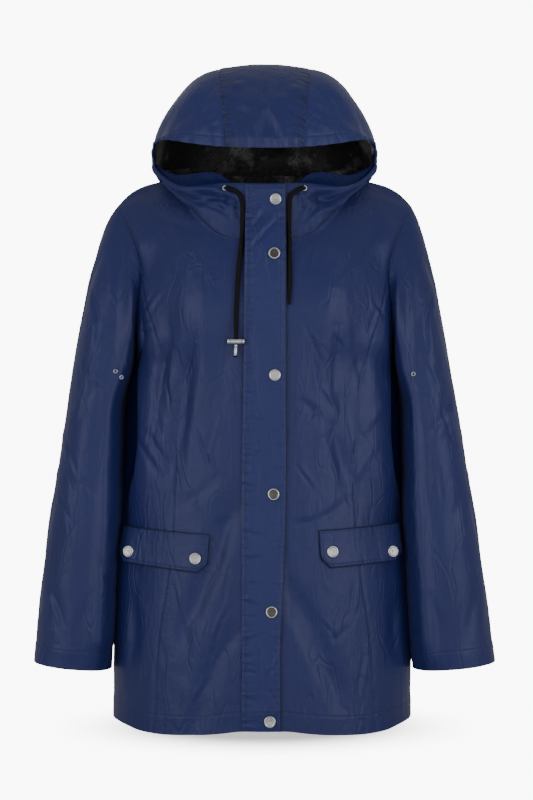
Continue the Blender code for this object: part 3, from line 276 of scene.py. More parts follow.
def neck(turn, side=1):
    angle = np.radians(turn)
    power = np.where(np.asarray(turn) < 90.0, 2.0 / 3.0, 1.0)
    x = side * NECK_HALF_WIDTH * np.abs(np.sin(angle)) ** power
    y = NECK_MIDDLE_Y - NECK_HALF_DEPTH * np.sign(np.cos(angle)) * np.abs(np.cos(angle)) ** power
    return stack(x, y, neck_z(turn))


def top_edge(place, side, front):
    """Neckline up to place 1, then the shoulder seam to place 2."""
    turn = place * 100.0 if front else 180.0 - 80.0 * place
    on_neck = neck(np.clip(turn, 0.0, 180.0) if front else np.clip(turn, 100.0, 180.0), side)
    start = neck(100.0)
    part = np.clip(place - 1.0, 0.0, 1.0)
    x = start[0] + (SHOULDER_TIP[0] - start[0]) * part
    on_shoulder = stack(side * x, start[1] * (1 - ease(part)), np.where(part > 0, shoulder_z(x), start[2]))
    return np.where((place <= 1.0)[..., None], on_neck, on_shoulder)


def hermite(start, start_slope, end, end_slope, t):
    return (start * (1 + 2 * t) * (1 - t) ** 2 + start_slope * t * (1 - t) ** 2
            + end * t * t * (3 - 2 * t) + end_slope * t * t * (t - 1))


def upper_column(place, low_turn, part, side, front):
    """Points from the neckline or shoulder down to CHEST_Z."""
    leans = curves_of(FRONT_LEANS if front else BACK_LEANS)
    lean = unit(stack(*[lean_at(place) for lean_at in leans]) * (side, 1, 1))
    top = top_edge(place, side, front)
    low = body(low_turn, CHEST_Z)
    below = body(low_turn, CHEST_Z - 0.006)
    reach = np.linalg.norm(low - top, axis=-1, keepdims=True)
    return hermite(top, lean * reach * TOP_PULL, low, unit(below - low) * reach, np.asarray(part)[..., None])


SHOULDER_PARTS = [1.27, 1.52, 1.76, 2.0]
FRONT_PLACES = [t / 100.0 for t in list(LIP[:, 0]) + list(RIBS[1:3, 0])] + SHOULDER_PARTS
FRONT_SHARES = [0.0, 0.16, 0.30, 0.415, 0.50, 0.565, 0.615, 0.66, 0.705, 0.75, 0.815, 0.88, 0.94, 1.0]
BACK_TURNS = [180.0, 172.5] + list(RIBS[:1:-1, 0])
BACK_PLACES = [(180.0 - t) / 80.0 for t in BACK_TURNS] + SHOULDER_PARTS


def front_grid(side, rows_up, rows_low, columns):
    share = in_row(0.0, 1.0, columns)
    place = curve(FRONT_SHARES, FRONT_PLACES)(share)
    part = np.linspace(0.0, 1.0, rows_up, endpoint=False)[:, None] + 0.0 * share
    low_turn = turn_at(side * share * PRINCESS[-1, 1], CHEST_Z)
    upper = upper_column(place + 0.0 * part, low_turn + 0.0 * part, part, side, True)
    z = in_column(CHEST_Z, HEM_Z, rows_low)
    lower = body(turn_at(side * share * princess_x(z), z), z + 0.0 * share)
    grid = np.concatenate([upper, lower])
    free = ease(np.arange(len(grid)) / 9.0) * ease((rows_up + 8.0 - np.arange(len(grid))) / 20.0)
    for _ in range(60):
        middle = (grid[:, :-2] + grid[:, 2:]) / 2
        grid[:, 1:-1] += (middle - grid[:, 1:-1]) * free[:, None, None]
    return grid


def side_grid(side, rows, columns):
    part = in_column(0.0, 1.0, rows)
    across = in_row(0.0, 1.0, columns)
    seam_z = CHEST_Z + (HEM_Z - CHEST_Z) * part
    edge_z = UNDERARM_Z + (HEM_Z - UNDERARM_Z) * part
    start = np.abs(princess_turn(seam_z, side))
    quarter = 0.5 * math.pi * across
    rise = (1 - part) * np.sin(quarter) + part * across
    sweep = (1 - part) * (1 - np.cos(quarter)) + part * across
    return body(side * (start + (90.0 - start) * sweep), seam_z + (edge_z - seam_z) * rise)


def back_grid(rows_up, rows_low, columns):
    halves = []
    for side in (-1, 1):
        spread = in_row(0.0, 1.0, columns)
        place = curve(np.linspace(0, 1, len(BACK_PLACES)), BACK_PLACES)(spread)
        part = np.linspace(0.0, 1.0, rows_up, endpoint=False)[:, None]
        low_turn = side * (180.0 - (180.0 - BACK_ARMHOLE_TURN) * spread ** 0.9)
        upper = upper_column(place + 0.0 * part, low_turn + 0.0 * part, part + 0.0 * spread, side, False)
        row = in_column(0.0, 16.0, rows_low)
        middle_z = CHEST_Z + (HEM_Z - CHEST_Z) * row / 16.0
        quarter = 0.5 * math.pi * np.minimum(row / 4.0, 1.0)
        edge_turn = BACK_ARMHOLE_TURN + (90.0 - BACK_ARMHOLE_TURN) * (1 - np.cos(quarter))
        edge_z = CHEST_Z + (UNDERARM_Z - CHEST_Z) * np.sin(quarter)
        edge_z = np.where(row > 4.0, UNDERARM_Z + (HEM_Z - UNDERARM_Z) * (row - 4.0) / 12.0, edge_z)
        turn = 180.0 - (180.0 - edge_turn) * spread ** 0.9
        lower = body(side * turn, middle_z + (edge_z - middle_z) * spread ** 3)
        halves.append(np.concatenate([upper, lower]))
    return np.concatenate([halves[0][:, ::-1], halves[1][:, 1:]], axis=1)


def sleeve_section(table, position, angle, side):
    ox, oz, ix, iz, front, back, middle_y, round_in = at_rows(table, position)
    across, ahead = np.cos(np.radians(angle)), np.sin(np.radians(angle))
    x = (ox + ix) / 2 + (ox - ix) / 2 * across - round_in * np.abs(ahead)
    z = (oz + iz) / 2 + (oz - iz) / 2 * across
    y = middle_y - ahead * np.where(ahead > 0, front, back)
    return stack(side * x, y, z)


def armhole(angle, side):
    """Armhole at angles from the shoulder tip (0) round the front (90), underarm (180) and back."""
    angle = np.asarray(angle, float)
    two = np.full_like(angle, 2.0)
    front_turn = turn_at(side * PRINCESS[-1, 1], CHEST_Z) + 0.0 * angle
    back_turn = side * BACK_ARMHOLE_TURN + 0.0 * angle
    quarters = [
        upper_column(two, front_turn, np.clip(angle / 90.0, 0, 1), side, True),
        armhole_arc(np.clip(angle / 90.0 - 1.0, 0, 1), side, True),
        armhole_arc(np.clip(3.0 - angle / 90.0, 0, 1), side, False),
        upper_column(two, back_turn, np.clip(4.0 - angle / 90.0, 0, 1), side, False),
    ]
    which = np.minimum((angle // 90.0).astype(int), 3)
    return np.choose(which[..., None], quarters)


def sleeve_grid(side, rows, columns):
    angle = np.linspace(0.0, 360.0, columns, endpoint=False)
    position = in_column(0.0, 11.0, rows)
    fade = np.maximum(0.0, 1.0 - position * 15.0 / 44.0) ** 2
    shift = armhole(angle, side) - sleeve_section(SLEEVES[side], 0.0, angle, side)
    return sleeve_section(SLEEVES[side], position, angle[None, :], side) + shift[None] * fade[..., None]


# ---------------------------------------------------------------- hood surface
rib_curves = [curve(np.arange(len(RIBS)), RIBS[:, i]) for i in range(8)]


def rib_point(position, share, side=1):
    _, side_x, side_y, side_z, crown_y, crown_z, _, _ = [c(position) for c in rib_curves]
    angle = 0.5 * math.pi * share
    up = np.abs(np.sin(angle)) ** (2.0 / HOOD_ROUND)
    x = side * side_x * np.abs(np.cos(angle)) ** (2.0 / HOOD_ROUND)
    y = side_y + (crown_y - side_y) * up
    z = side_z + (crown_z - side_z) * up
    rise = np.sin(math.pi * np.sqrt(np.clip(share, 0, 1)))
    rise = np.where(share < 0.25, rise, rise * rise)
    z = z + BRIM_ARCH * rise * ease(1.0 - position / 1.5)
    return stack(x, y, z)


def seam_share(position):
    ratio = rib_curves[6](position) / rib_curves[1](position)
    return np.arccos(ratio ** (HOOD_ROUND / 2.0)) / (0.5 * math.pi)


def under_point(edge, turn, under, part, side):
    low = neck(turn, side)
    corner = edge - stack(0.0, 0.0, under)
    part = np.asarray(part)[..., None]
    start = edge + (corner - edge) * part
    end = corner + (low - corner) * part
    return start + (end - start) * part


def hood_lower(column, part, side):
    """Below the widest line: column runs 0 at the middle of the throat, 7 at the mouth's corner, 16 at the back."""
    column, part = np.broadcast_arrays(column, part)
    lip = at_rows(LIP, np.minimum(column, 7.0))
    position = np.maximum(column - 7.0, 0.0)
    on_lip = stack(side * lip[1], lip[2], lip[3])
    edge = np.where((column < 7.0)[..., None], on_lip, rib_point(position, 0.0 * position, side))
    turn = np.where(column < 7.0, lip[0], rib_curves[0](position))
    under = np.where(column < 7.0, lip[4], rib_curves[7](position))
    return under_point(edge, turn, under, part, side)


def hood_upper(position, part, side):
    return rib_point(position, seam_share(position) * part, side)


def hood_center(position, across):
    """position runs 0 at the brim, 9 at the last rib, 15 at the widest line, 19 at the neckline."""
    position, across = np.broadcast_arrays(position, across)
    rib = np.minimum(position, 9.0)
    edge = seam_share(rib)
    side = np.where(across < 0, -1.0, 1.0)
    dome = rib_point(rib, edge + (1 - edge) * (1 - np.abs(across)), side)
    step = np.maximum(position - 9.0, 0.0)
    nine = 9.0 + 0.0 * step
    upper = hood_upper(nine, 1.0 - np.minimum(step / 6.0, 1.0), 1)
    lower = hood_lower(16.0 + 0.0 * step, np.clip((step - 6.0) / 4.0, 0, 1), 1)
    place = np.where((step < 6.0)[..., None], upper, lower)
    chord = hood_upper(nine, 1.0 + 0.0 * step, 1)
    bow = dome - chord * stack(across, 1.0, 1.0)
    crown = 1 - across ** 2
    fade = np.clip(1.0 - step / 6.0, 0, 1)[..., None]
    tail = place * stack(across, 1.0, 1.0) + bow * fade + stack(0.0, 0.003 * crown, 0.0) * (1 - fade)
    low = neck(180.0 - 15.0 * np.abs(across), side)
    tail = tail + (low - tail) * np.clip(step - 9.0, 0, 1)[..., None]
    return np.where((position <= 9.0)[..., None], dome, tail)


# ---------------------------------------------------------------- folds, in metres
def smooth_line(points, count=24):
    points = np.asarray(points, float)
    if len(points) < 3:
        return points
    places = np.linspace(0, len(points) - 1, count)
    return np.stack(at_rows(points, places), -1)


def relief(a, b, creases):
    """Push along the normal at the places (a, b): each crease is (points, half width, depth, ridge).

    A positive depth is a valley.  ridge is how much the cloth stands up on the left of the line.
    """
    total = np.zeros_like(a)
    for points, width, depth, ridge in creases:
        line = smooth_line(points)
        best = np.full_like(a, 1e9)
        signed = np.zeros_like(a)
        along = np.zeros_like(a)
        for i, (p, q) in enumerate(zip(line, line[1:])):
            d = q - p
            t = np.clip(((a - p[0]) * d[0] + (b - p[1]) * d[1]) / (d @ d), 0, 1)
            ea, eb = a - p[0] - t * d[0], b - p[1] - t * d[1]
            dist = np.hypot(ea, eb)
            near = dist < best
            best = np.where(near, dist, best)
            signed = np.where(near, dist * np.sign(d[0] * eb - d[1] * ea), signed)
            along = np.where(near, (i + t) / (len(line) - 1), along)
        taper = np.sin(math.pi * (0.06 + 0.88 * along)) ** 0.8
        valley = np.exp(-(signed / width) ** 2)
        hill = np.exp(-((signed - 1.9 * width) / (1.2 * width)) ** 2)
        total += taper * depth * (ridge * hill - valley)
    return total


def soften(creases):
    """The broad folds are shallow; the thin ones keep their depth."""
    return [(points, width, depth * (0.70 if width > 0.004 else 1.25), ridge)
            for points, width, depth, ridge in creases]


def crumple(points, seed, wave, amount, count=9):
    """Faint irregular ridges in many directions."""
    rng = np.random.default_rng(seed)
    total = 0.0
    for _ in range(count):
        direction = unit(rng.normal(size=3)) / (wave * rng.uniform(0.6, 1.7))
        bend = unit(rng.normal(size=3)) / (wave * 2.7)
        phase = points @ direction * math.pi + 1.3 * np.sin(points @ bend * math.pi + rng.uniform(0, 6))
        ridge = (1.0 - np.abs(np.sin(phase + rng.uniform(0, 6)))) ** 2
        mask = 0.5 + 0.5 * np.sin(points @ unit(rng.normal(size=3)) / (wave * 2.2) + rng.uniform(0, 6))
        total = total + ridge * mask
    return amount * (total / count - 0.12)


# ---------------------------------------------------------------- shells
def grid_normals(points, closed, centre):
    along = np.roll(points, -1, 1) - np.roll(points, 1, 1) if closed else np.gradient(points, axis=1)
    normal = unit(np.cross(along, np.gradient(points, axis=0)))
    away = unit(points - centre)
    if np.mean(np.sum(normal * away, -1)) < 0:
        normal = -normal
    folded = np.sum(normal * away, -1, keepdims=True) < 0.05
    return np.where(folded, away, normal)


def arc(points, axis):
    """Distance along a grid's rows or columns from their first point."""
    steps = np.linalg.norm(np.diff(points, axis=axis), axis=-1)
    zero = np.zeros_like(np.take(steps, [0], axis=axis))
    return np.concatenate([zero, np.cumsum(steps, axis=axis)], axis=axis)


def link(name, mesh, material, smooth_angle=35.0):
    mesh.materials.clear()
    mesh.materials.append(material)
    if isinstance(mesh, bpy.types.Mesh):
        mesh.shade_smooth()
        mesh.set_sharp_from_angle(angle=math.radians(smooth_angle))
    item = bpy.data.objects.new(name, mesh)
    bpy.context.scene.collection.objects.link(item)
    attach(item, "root")
    return item


def quads_of(index):
    """The four corners of every cell in a grid of vertex numbers."""
    return np.stack([index[:-1, :-1], index[1:, :-1], index[1:, 1:], index[:-1, 1:]], -1).reshape(-1, 4)


ROLL_REACH = 0.0022
ALL_EDGES = ("first", "last", "top", "bottom")


def shell(name, points, material, centre, push=None, closed=False, thickness=0.0013, roll=0.0006,
          open_edges=()):
    """Closed thin wall from a grid of points, with UV maps in metres from its edges.

    closed joins the grid's last column to its first.  Edges roll inward, except the open_edges.
    """
    normal = grid_normals(points, closed, centre)
    across, down = arc(points, 1), arc(points, 0)
    far_across, far_down = across[:, -1:] - across, down[-1:] - down
    if push is not None:
        points = points + normal * push[..., None]
        normal = grid_normals(points, closed, centre)
    edge = np.full(points.shape[:2], 1.0)
    for edge_name, distance in zip(ALL_EDGES, (across, far_across, down, far_down)):
        if edge_name not in open_edges and not (closed and edge_name in ("first", "last")):
            edge = np.minimum(edge, distance)
    points = points - normal * (roll * hump(edge, 0.0, ROLL_REACH))[..., None]
    outer = points.reshape(-1, 3)
    inner = (points - normal * thickness).reshape(-1, 3)
    count = len(outer)
    index = np.arange(count).reshape(points.shape[:2])
    wide = np.concatenate([index, index[:, :1]], 1) if closed else index
    quads = quads_of(wide)
    a, b, _, d = quads[0]
    if np.dot(np.cross(outer[b] - outer[a], outer[d] - outer[a]), normal.reshape(-1, 3)[a]) < 0:
        quads = quads[:, ::-1]
    directed = {pair for quad in quads.tolist() for pair in zip(quad, quad[1:] + quad[:1])}
    border = []
    for loop in [wide[0], wide[-1]] + ([] if closed else [index[:, 0], index[:, -1]]):
        for u, v in zip(loop[:-1].tolist(), loop[1:].tolist()):
            if (u, v) not in directed:
                u, v = v, u
            border.append((v, u, u + count, v + count))
    faces = np.concatenate([quads, quads[:, ::-1] + count, np.array(border)])
    mesh = bpy.data.meshes.new(name)
    mesh.from_pydata(np.concatenate([outer, inner]).tolist(), [], faces.tolist())
    loop_vertices = np.zeros(len(mesh.loops), int)
    mesh.loops.foreach_get("vertex_index", loop_vertices)
    for map_name, u, v in (("near", across, down), ("far", far_across, far_down)):
        distances = np.stack([u.reshape(-1), v.reshape(-1)], -1)
        layer = mesh.uv_layers.new(name=map_name)
        layer.data.foreach_set("uv", distances[loop_vertices % count].reshape(-1))
    return link(name, mesh, material, smooth_angle=62.0)


# ---------------------------------------------------------------- materials
def operator(operation, swapped=False):
    def method(self, other=0.0):
        return self.nodes.math(operation, *((other, self) if swapped else (self, other)))
    return method


class Signal:
    """An output socket of a node tree.  Arithmetic with it adds Math nodes to the tree."""
    __add__, __radd__ = operator("ADD"), operator("ADD", True)
    __sub__, __rsub__ = operator("SUBTRACT"), operator("SUBTRACT", True)
    __mul__, __truediv__, __pow__ = operator("MULTIPLY"), operator("DIVIDE"), operator("POWER")
    __abs__ = operator("ABSOLUTE")

    def __init__(self, nodes, socket):
        self.nodes, self.socket = nodes, socket


class Nodes:
    """Short calls that build a node tree.  An underscore in an input's keyword stands for a space."""

    def __init__(self, name):
        self.material = bpy.data.materials.new(name)
        self.material.use_nodes = True
        self.tree = self.material.node_tree
        self.shader = self.tree.nodes["Principled BSDF"]

    def put(self, node, inputs):
        for key, value in inputs.items():
            socket = node.inputs[key.replace("_", " ") if isinstance(key, str) else key]
            if isinstance(value, Signal):
                self.tree.links.new(value.socket, socket)
            else:
                socket.default_value = value

    def add(self, kind, settings=None, output=0, **inputs):
        node = self.tree.nodes.new("ShaderNode" + kind)
        for key, value in (settings or {}).items():
            setattr(node, key, value)
        self.put(node, inputs)
        return Signal(self, node.outputs[output])

    def math(self, operation, a, b=0.0):
        node = self.tree.nodes.new("ShaderNodeMath")
        node.operation = operation
        self.put(node, {0: a, 1: b})
        return Signal(self, node.outputs[0])

    def bell(self, value, width, power=2.0):
        """1 where the value is 0, and near 0 past the width."""
        return self.math("EXPONENT", (value / width) ** power * -1.0)

    def clamp(self, value):
        return self.math("MINIMUM", self.math("MAXIMUM", value, 0.0), 1.0)

    def place(self):
        return self.add("TexCoord", output="Object")

    def split(self, vector):
        node = self.add("SeparateXYZ", Vector=vector).socket.node
        return [Signal(self, socket) for socket in node.outputs]

    def noise(self, vector, scale, detail=2.0, roughness=0.5):
        return self.add("TexNoise", Vector=vector, Scale=scale, Detail=detail, Roughness=roughness)

    def mix(self, factor, low, high):
        node = self.tree.nodes.new("ShaderNodeMix")
        node.data_type = "RGBA"
        self.put(node, {0: factor, 6: low, 7: high})
        return Signal(self, node.outputs[2])

    def uv(self, name):
        return self.split(self.add("UVMap", {"uv_map": name}))[:2]

    def surface(self, height, distance, **inputs):
        """Sets the shader's inputs and its bump, and hands over the material."""
        bump = self.add("Bump", Height=height, Distance=distance, Strength=1.0)
        self.put(self.shader, {**inputs, "Normal": bump})
        return self.material


# Scales a colour's channels: used for random tone, stains and painted shade alike.
def scaled_colour(colour, share):
    return tuple(c * share for c in colour[:3]) + (1.0,)


STITCH_LENGTH = 0.0034
STITCH_HALF, THREAD_HALF, FURROW_HALF, PULL_REACH = 0.36, 0.00045, 0.0013, 0.008
THREAD_COLOUR = (0.020, 0.026, 0.075, 1.0)
# Width of a rolled edge, and the dark colour of the painted shade along it.
ROLLED_EDGE, EDGE_SHADE_COLOUR = 0.0010, (0.0015, 0.0025, 0.012, 1.0)


def stitch_line(n, across, along, offset):
    """One line of stitches: its furrow, its thread, and how much it pulls the cloth beside it."""
    away = abs(across - offset)
    dash = n.math("LESS_THAN", abs(n.math("FRACT", along / STITCH_LENGTH) - 0.5), STITCH_HALF)
    pull = n.math("EXPONENT", away / PULL_REACH * -1.0)
    return n.bell(away, FURROW_HALF), n.bell(away, THREAD_HALF, 4.0) * dash, pull


def crisp_creases(n, place, turn, shift, scale):
    """Thin, long creases in patches: a sharp valley with a soft shoulder."""
    mapped = n.add("Mapping", Vector=place, Location=(shift, shift, shift), Rotation=(0.3, turn, 0.2),
                   Scale=(1.0, 1.0, 0.30))
    away = abs(n.noise(mapped, scale, 1.5, 0.45) - 0.5)
    patch = n.clamp((n.noise(place, 11.0 + shift, 1.0) - 0.40) * 5.0)
    return (n.bell(away, 0.060) * 0.9 - n.bell(away, 0.016)) * patch


def cloth_material(name, colour, lines, roughness=0.49, pucker=1.0, shine=0.34, edges=(), ticks=0.0):
    """Coated cloth.

    lines are stitches (uv map, axis, offset in metres), with axis 0 across and 1 down.  pucker scales
    the cloth that they pull, and ticks paints shade into its small valleys.  edges are (uv map, axis):
    each rolls in, with a band of painted shade along it.
    """
    n = Nodes(name)
    place = n.place()
    fine = n.noise(place, 190.0, 3.0, 0.6)
    height = n.noise(place, 55.0, 3.0, 0.55) * 0.62
    for turn, shift, scale in ((0.55, 0.3, 26.0), (-0.75, 2.1, 31.0), (1.45, 4.7, 22.0)):
        height = height + crisp_creases(n, place, turn, shift, scale) * 0.46
    hanging = n.add("Mapping", Vector=place, Rotation=(0.0, 0.06, 0.0), Scale=(1.0, 1.0, 0.07))
    height = height + fine * 0.26 + n.noise(hanging, 95.0, 2.0, 0.5) * 0.50 + n.noise(place, 900.0, 2.0, 0.6) * 0.035
    threads, shades = [], []
    for uv_name, axis, offset in lines:
        uv = n.uv(uv_name)
        across, along = uv[axis], uv[1 - axis]
        furrow, thread, pull = stitch_line(n, across, along, offset)
        gather = n.noise(n.add("CombineXYZ", X=along * 150.0, Y=across * 24.0), 1.0, 1.0)
        # Painted shade: the colour darkens in the small valleys between the puckers beside a seam.
        if ticks and axis == 0:
            valley = n.math("MAXIMUM", (0.50 - gather) * 7.0, 0.0)
            shades.append(n.math("MINIMUM", valley, 1.0) * pull ** 1.4)
        height = height + gather * pull * (0.75 * pucker) - furrow * 0.42 + thread * 0.30
        threads.append(thread)
    base = n.mix(n.noise(place, 9.0, 2.0), scaled_colour(colour, 0.86), scaled_colour(colour, 1.12))
    for signals, share, dark in ((threads, 0.55, THREAD_COLOUR), (shades, ticks, scaled_colour(colour, 0.25))):
        if signals:
            most = signals[0]
            for signal in signals[1:]:
                most = n.math("MAXIMUM", most, signal)
            base = n.mix(most * share, base, dark)
    # Painted shade: a dark band along each edge listed, beside its rolled bump.
    for uv_name, axis in edges:
        rolled_and_shaded = n.bell(n.uv(uv_name)[axis], ROLLED_EDGE)
        height = height - rolled_and_shaded * 0.9
        base = n.mix(rolled_and_shaded * 0.85, base, EDGE_SHADE_COLOUR)
    return n.surface(height, 0.0011, Base_Color=base, Roughness=roughness - 0.05 + fine * 0.10,
                     Specular_IOR_Level=shine, Sheen_Weight=0.03, Sheen_Roughness=0.5)


def mesh_material(name, colour):
    """Open knitted mesh: rows of small dark holes, with grey patches of painted sheen in its colour."""
    n = Nodes(name)
    place = n.place()
    cells = n.add("TexVoronoi", {"feature": "F1"}, "Distance", Vector=place, Scale=420.0)
    hole = n.math("LESS_THAN", cells, 0.32)
    # Painted sheen: grey patches mixed into the thread colour stand in for highlights on the lining.
    sheen_patches = n.clamp((n.noise(place, 17.0, 3.0, 0.6) - 0.52) * 8.0)
    thread = n.mix(sheen_patches, colour, (0.20, 0.20, 0.20, 1.0))
    height = n.noise(place, 45.0, 3.0, 0.55) * 1.2 + n.math("MINIMUM", cells, 0.4) * 0.3
    return n.surface(height, 0.0014, Base_Color=n.mix(hole, thread, (0.0015, 0.0015, 0.002, 1.0)),
                     Roughness=0.5 + hole * 0.35, Sheen_Weight=0.06, Specular_IOR_Level=0.30)


def cord_material(name):
    """Braided cord: slanting strands along the tube, in object space."""
    n = Nodes(name)
    x, _, z = n.split(n.place())
    rise, turn = z * 2200.0, x * 1500.0
    strands = n.math("MAXIMUM", abs(n.math("SINE", rise + turn)), abs(n.math("SINE", rise - turn)))
    colour = n.mix(strands, (0.0008, 0.0008, 0.0010, 1.0), (0.0045, 0.0045, 0.0055, 1.0))
    return n.surface(strands, 0.0005, Base_Color=colour, Roughness=0.7, Specular_IOR_Level=0.2)


def metal_material(name, colour, roughness):
    n = Nodes(name)
    place = n.place()
    scratch, stain = n.noise(place, 1400.0, 2.0, 0.7), n.noise(place, 160.0, 2.0)
    return n.surface(scratch, 0.00008, Base_Color=n.mix(stain, scaled_colour(colour, 0.72), colour), Metallic=1.0,
                     Roughness=roughness + scratch * 0.12)


NAVY = (0.0080, 0.0142, 0.088, 1.0)
# A lighter copy of the navy: painted light on the hood's side panels.
HOOD_SIDE_LIT_NAVY = (0.0092, 0.0162, 0.098, 1.0)
# A lighter copy of the navy: painted light on the placket.
PLACKET_LIT_NAVY = (0.0094, 0.0163, 0.098, 1.0)
# A darker copy of the navy: painted shade on the facing inside the hood's mouth.
FACING_SHADED_NAVY = (0.0040, 0.0085, 0.058, 1.0)
steel = metal_material("snap_steel", (0.62, 0.63, 0.64, 1.0), 0.22)
# The snaps' recessed centres are darker metal than their rims: painted reflection of a darker surround in their
# hollows, darkest on three of the placket's snaps.
snap_centre_dark_reflection = metal_material("snap_centre_dark_reflection", (0.11, 0.106, 0.098, 1.0), 0.34)
snap_centre_dim_reflection = metal_material("snap_centre_dim_reflection", (0.52, 0.52, 0.50, 1.0), 0.36)
nickel = metal_material("nickel", (0.60, 0.61, 0.62, 1.0), 0.24)
lining_mesh = mesh_material("lining_mesh", (0.020, 0.020, 0.021, 1.0))
facing_cloth = cloth_material("facing_cloth", FACING_SHADED_NAVY, [], 0.6, shine=0.12)
braid = cord_material("cord_braid")


# ---------------------------------------------------------------- drawcords
def smooth_route(route, count):
    route = np.asarray(route, float)
    fine = smooth_line(route, 400)
    length = np.concatenate([[0.0], np.cumsum(np.linalg.norm(np.diff(fine, axis=0), axis=1))])
    goal = np.linspace(0, length[-1], count)
    return np.stack([np.interp(goal, length, fine[:, i]) for i in range(3)], -1), float(length[-1])


def cord_object(name, points, radii):
    data = bpy.data.curves.new(name, "CURVE")
    data.dimensions = "3D"
    spline = data.splines.new("POLY")
    spline.points.add(len(points) - 1)
    for target, place, radius in zip(spline.points, points, radii):
        target.co = (*place, 1.0)
        target.radius = radius
    data.bevel_depth = CORD_DIAMETER / 2
    data.bevel_resolution = 5
    data.use_fill_caps = True
    return link(name, data, braid)


def turned(name, profile, sides):
    """Turned solid about Z from a closed profile of (radius, height)."""
    work = bmesh.new()
    rings = []
    angles = [2 * math.pi * k / sides for k in range(sides)]
    for radius, height in profile:
        if radius < 1e-7:
            rings.append([work.verts.new((0.0, 0.0, height))])
        else:
            rings.append([work.verts.new((radius * math.cos(a), radius * math.sin(a), height)) for a in angles])
    if profile[0] == profile[-1]:
        for v in rings[-1]:
            work.verts.remove(v)
        rings[-1] = rings[0]
    for low, high in zip(rings, rings[1:]):
        for k in range(sides):
            a, b = low[k % len(low)], low[(k + 1) % len(low)]
            c, d = high[(k + 1) % len(high)], high[k % len(high)]
            corners = list(dict.fromkeys([a, b, c, d]))
            if len(corners) > 2:
                work.faces.new(corners)
    bmesh.ops.recalc_face_normals(work, faces=work.faces)
    mesh = bpy.data.meshes.new(name)
    work.to_mesh(mesh)
    work.free()
    return mesh


def stand(mesh, place, normal):
    """Move a turned mesh so that its +Z is the normal at a place."""
    mesh.transform(Matrix.Translation(place) @ Vector(normal).to_track_quat("Z", "Y").to_matrix().to_4x4())


def scaled(radius, height, shares):
    """A profile from shares of its radius and height."""
    return [(radius * a, height * b) for a, b in rows_of(shares)]


def add_fitting(name, node, profile, sides, place, normal):
    mesh = turned(name, profile, sides)
    stand(mesh, place, normal)
    item = link(name, mesh, nickel)
    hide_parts(node)
    return item


DISH = 0.0004
bar_middle = Vector(CORD_ROUTES["right"][-1]) - Vector((0.0, 0.0, STOP_RADIUS + GAP))
r, h = STOP_RADIUS, STOP_LENGTH
profile = [(0.0, DISH), (r * 0.45, DISH)] + scaled(r, h, """
    .5 0 | .86 0 | 1 .045 | 1 .11 | .9 .13 | .9 .16 | 1 .18 | 1 .36 | .94 .38 | .94 .62 | 1 .64
    1 .82 | .9 .84 | .9 .87 | 1 .89 | 1 .955 | .86 1 | .5 1""") + [(r * 0.45, h - DISH), (0.0, h - DISH)]
stop = add_fitting("cord_stop_bar", "cord_stop", profile, 40, bar_middle - Vector((h / 2, 0.0, 0.0)), (1.0, 0.0, 0.0))
profile = scaled(TIP_RADIUS, TIP_LENGTH, """
    0 0 | .8 0 | 1 .05 | 1 .14 | .88 .17 | .88 .2 | 1 .23 | 1 .8 | .88 .83 | .88 .86 | 1 .89 | .98 .96
    .7 1 | 0 1""")
tip = add_fitting("cord_tip_cap", "cord_tip", profile, 32, bar_middle - Vector((0.0, 0.0, STOP_RADIUS + GAP)),
                  (-0.05, 0.0, -1.0))
# The cord shows at the tip's open end.
CORD_END = 0.0026
low_end = min(v.co.z for v in tip.data.vertices)
tip.data.materials.append(braid)
tip.data.polygons.foreach_set("material_index", [int(p.center.z < low_end + CORD_END) for p in tip.data.polygons])

CORD_POINTS = 60
# How many points the end tapers over, and to what share of the radius.
CORD_TAPERS = {"right": (5, 0.85), "left": (11, 0.42)}
for side_name, route in CORD_ROUTES.items():
    points, length = smooth_route(route, CORD_POINTS)
    count, thin = CORD_TAPERS[side_name]
    radii = np.concatenate([np.ones(CORD_POINTS - count), np.linspace(1.0, thin, count)])
    cord = cord_object(f"cord_{side_name}", points, radii)
    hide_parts(f"drawcord_{side_name}")

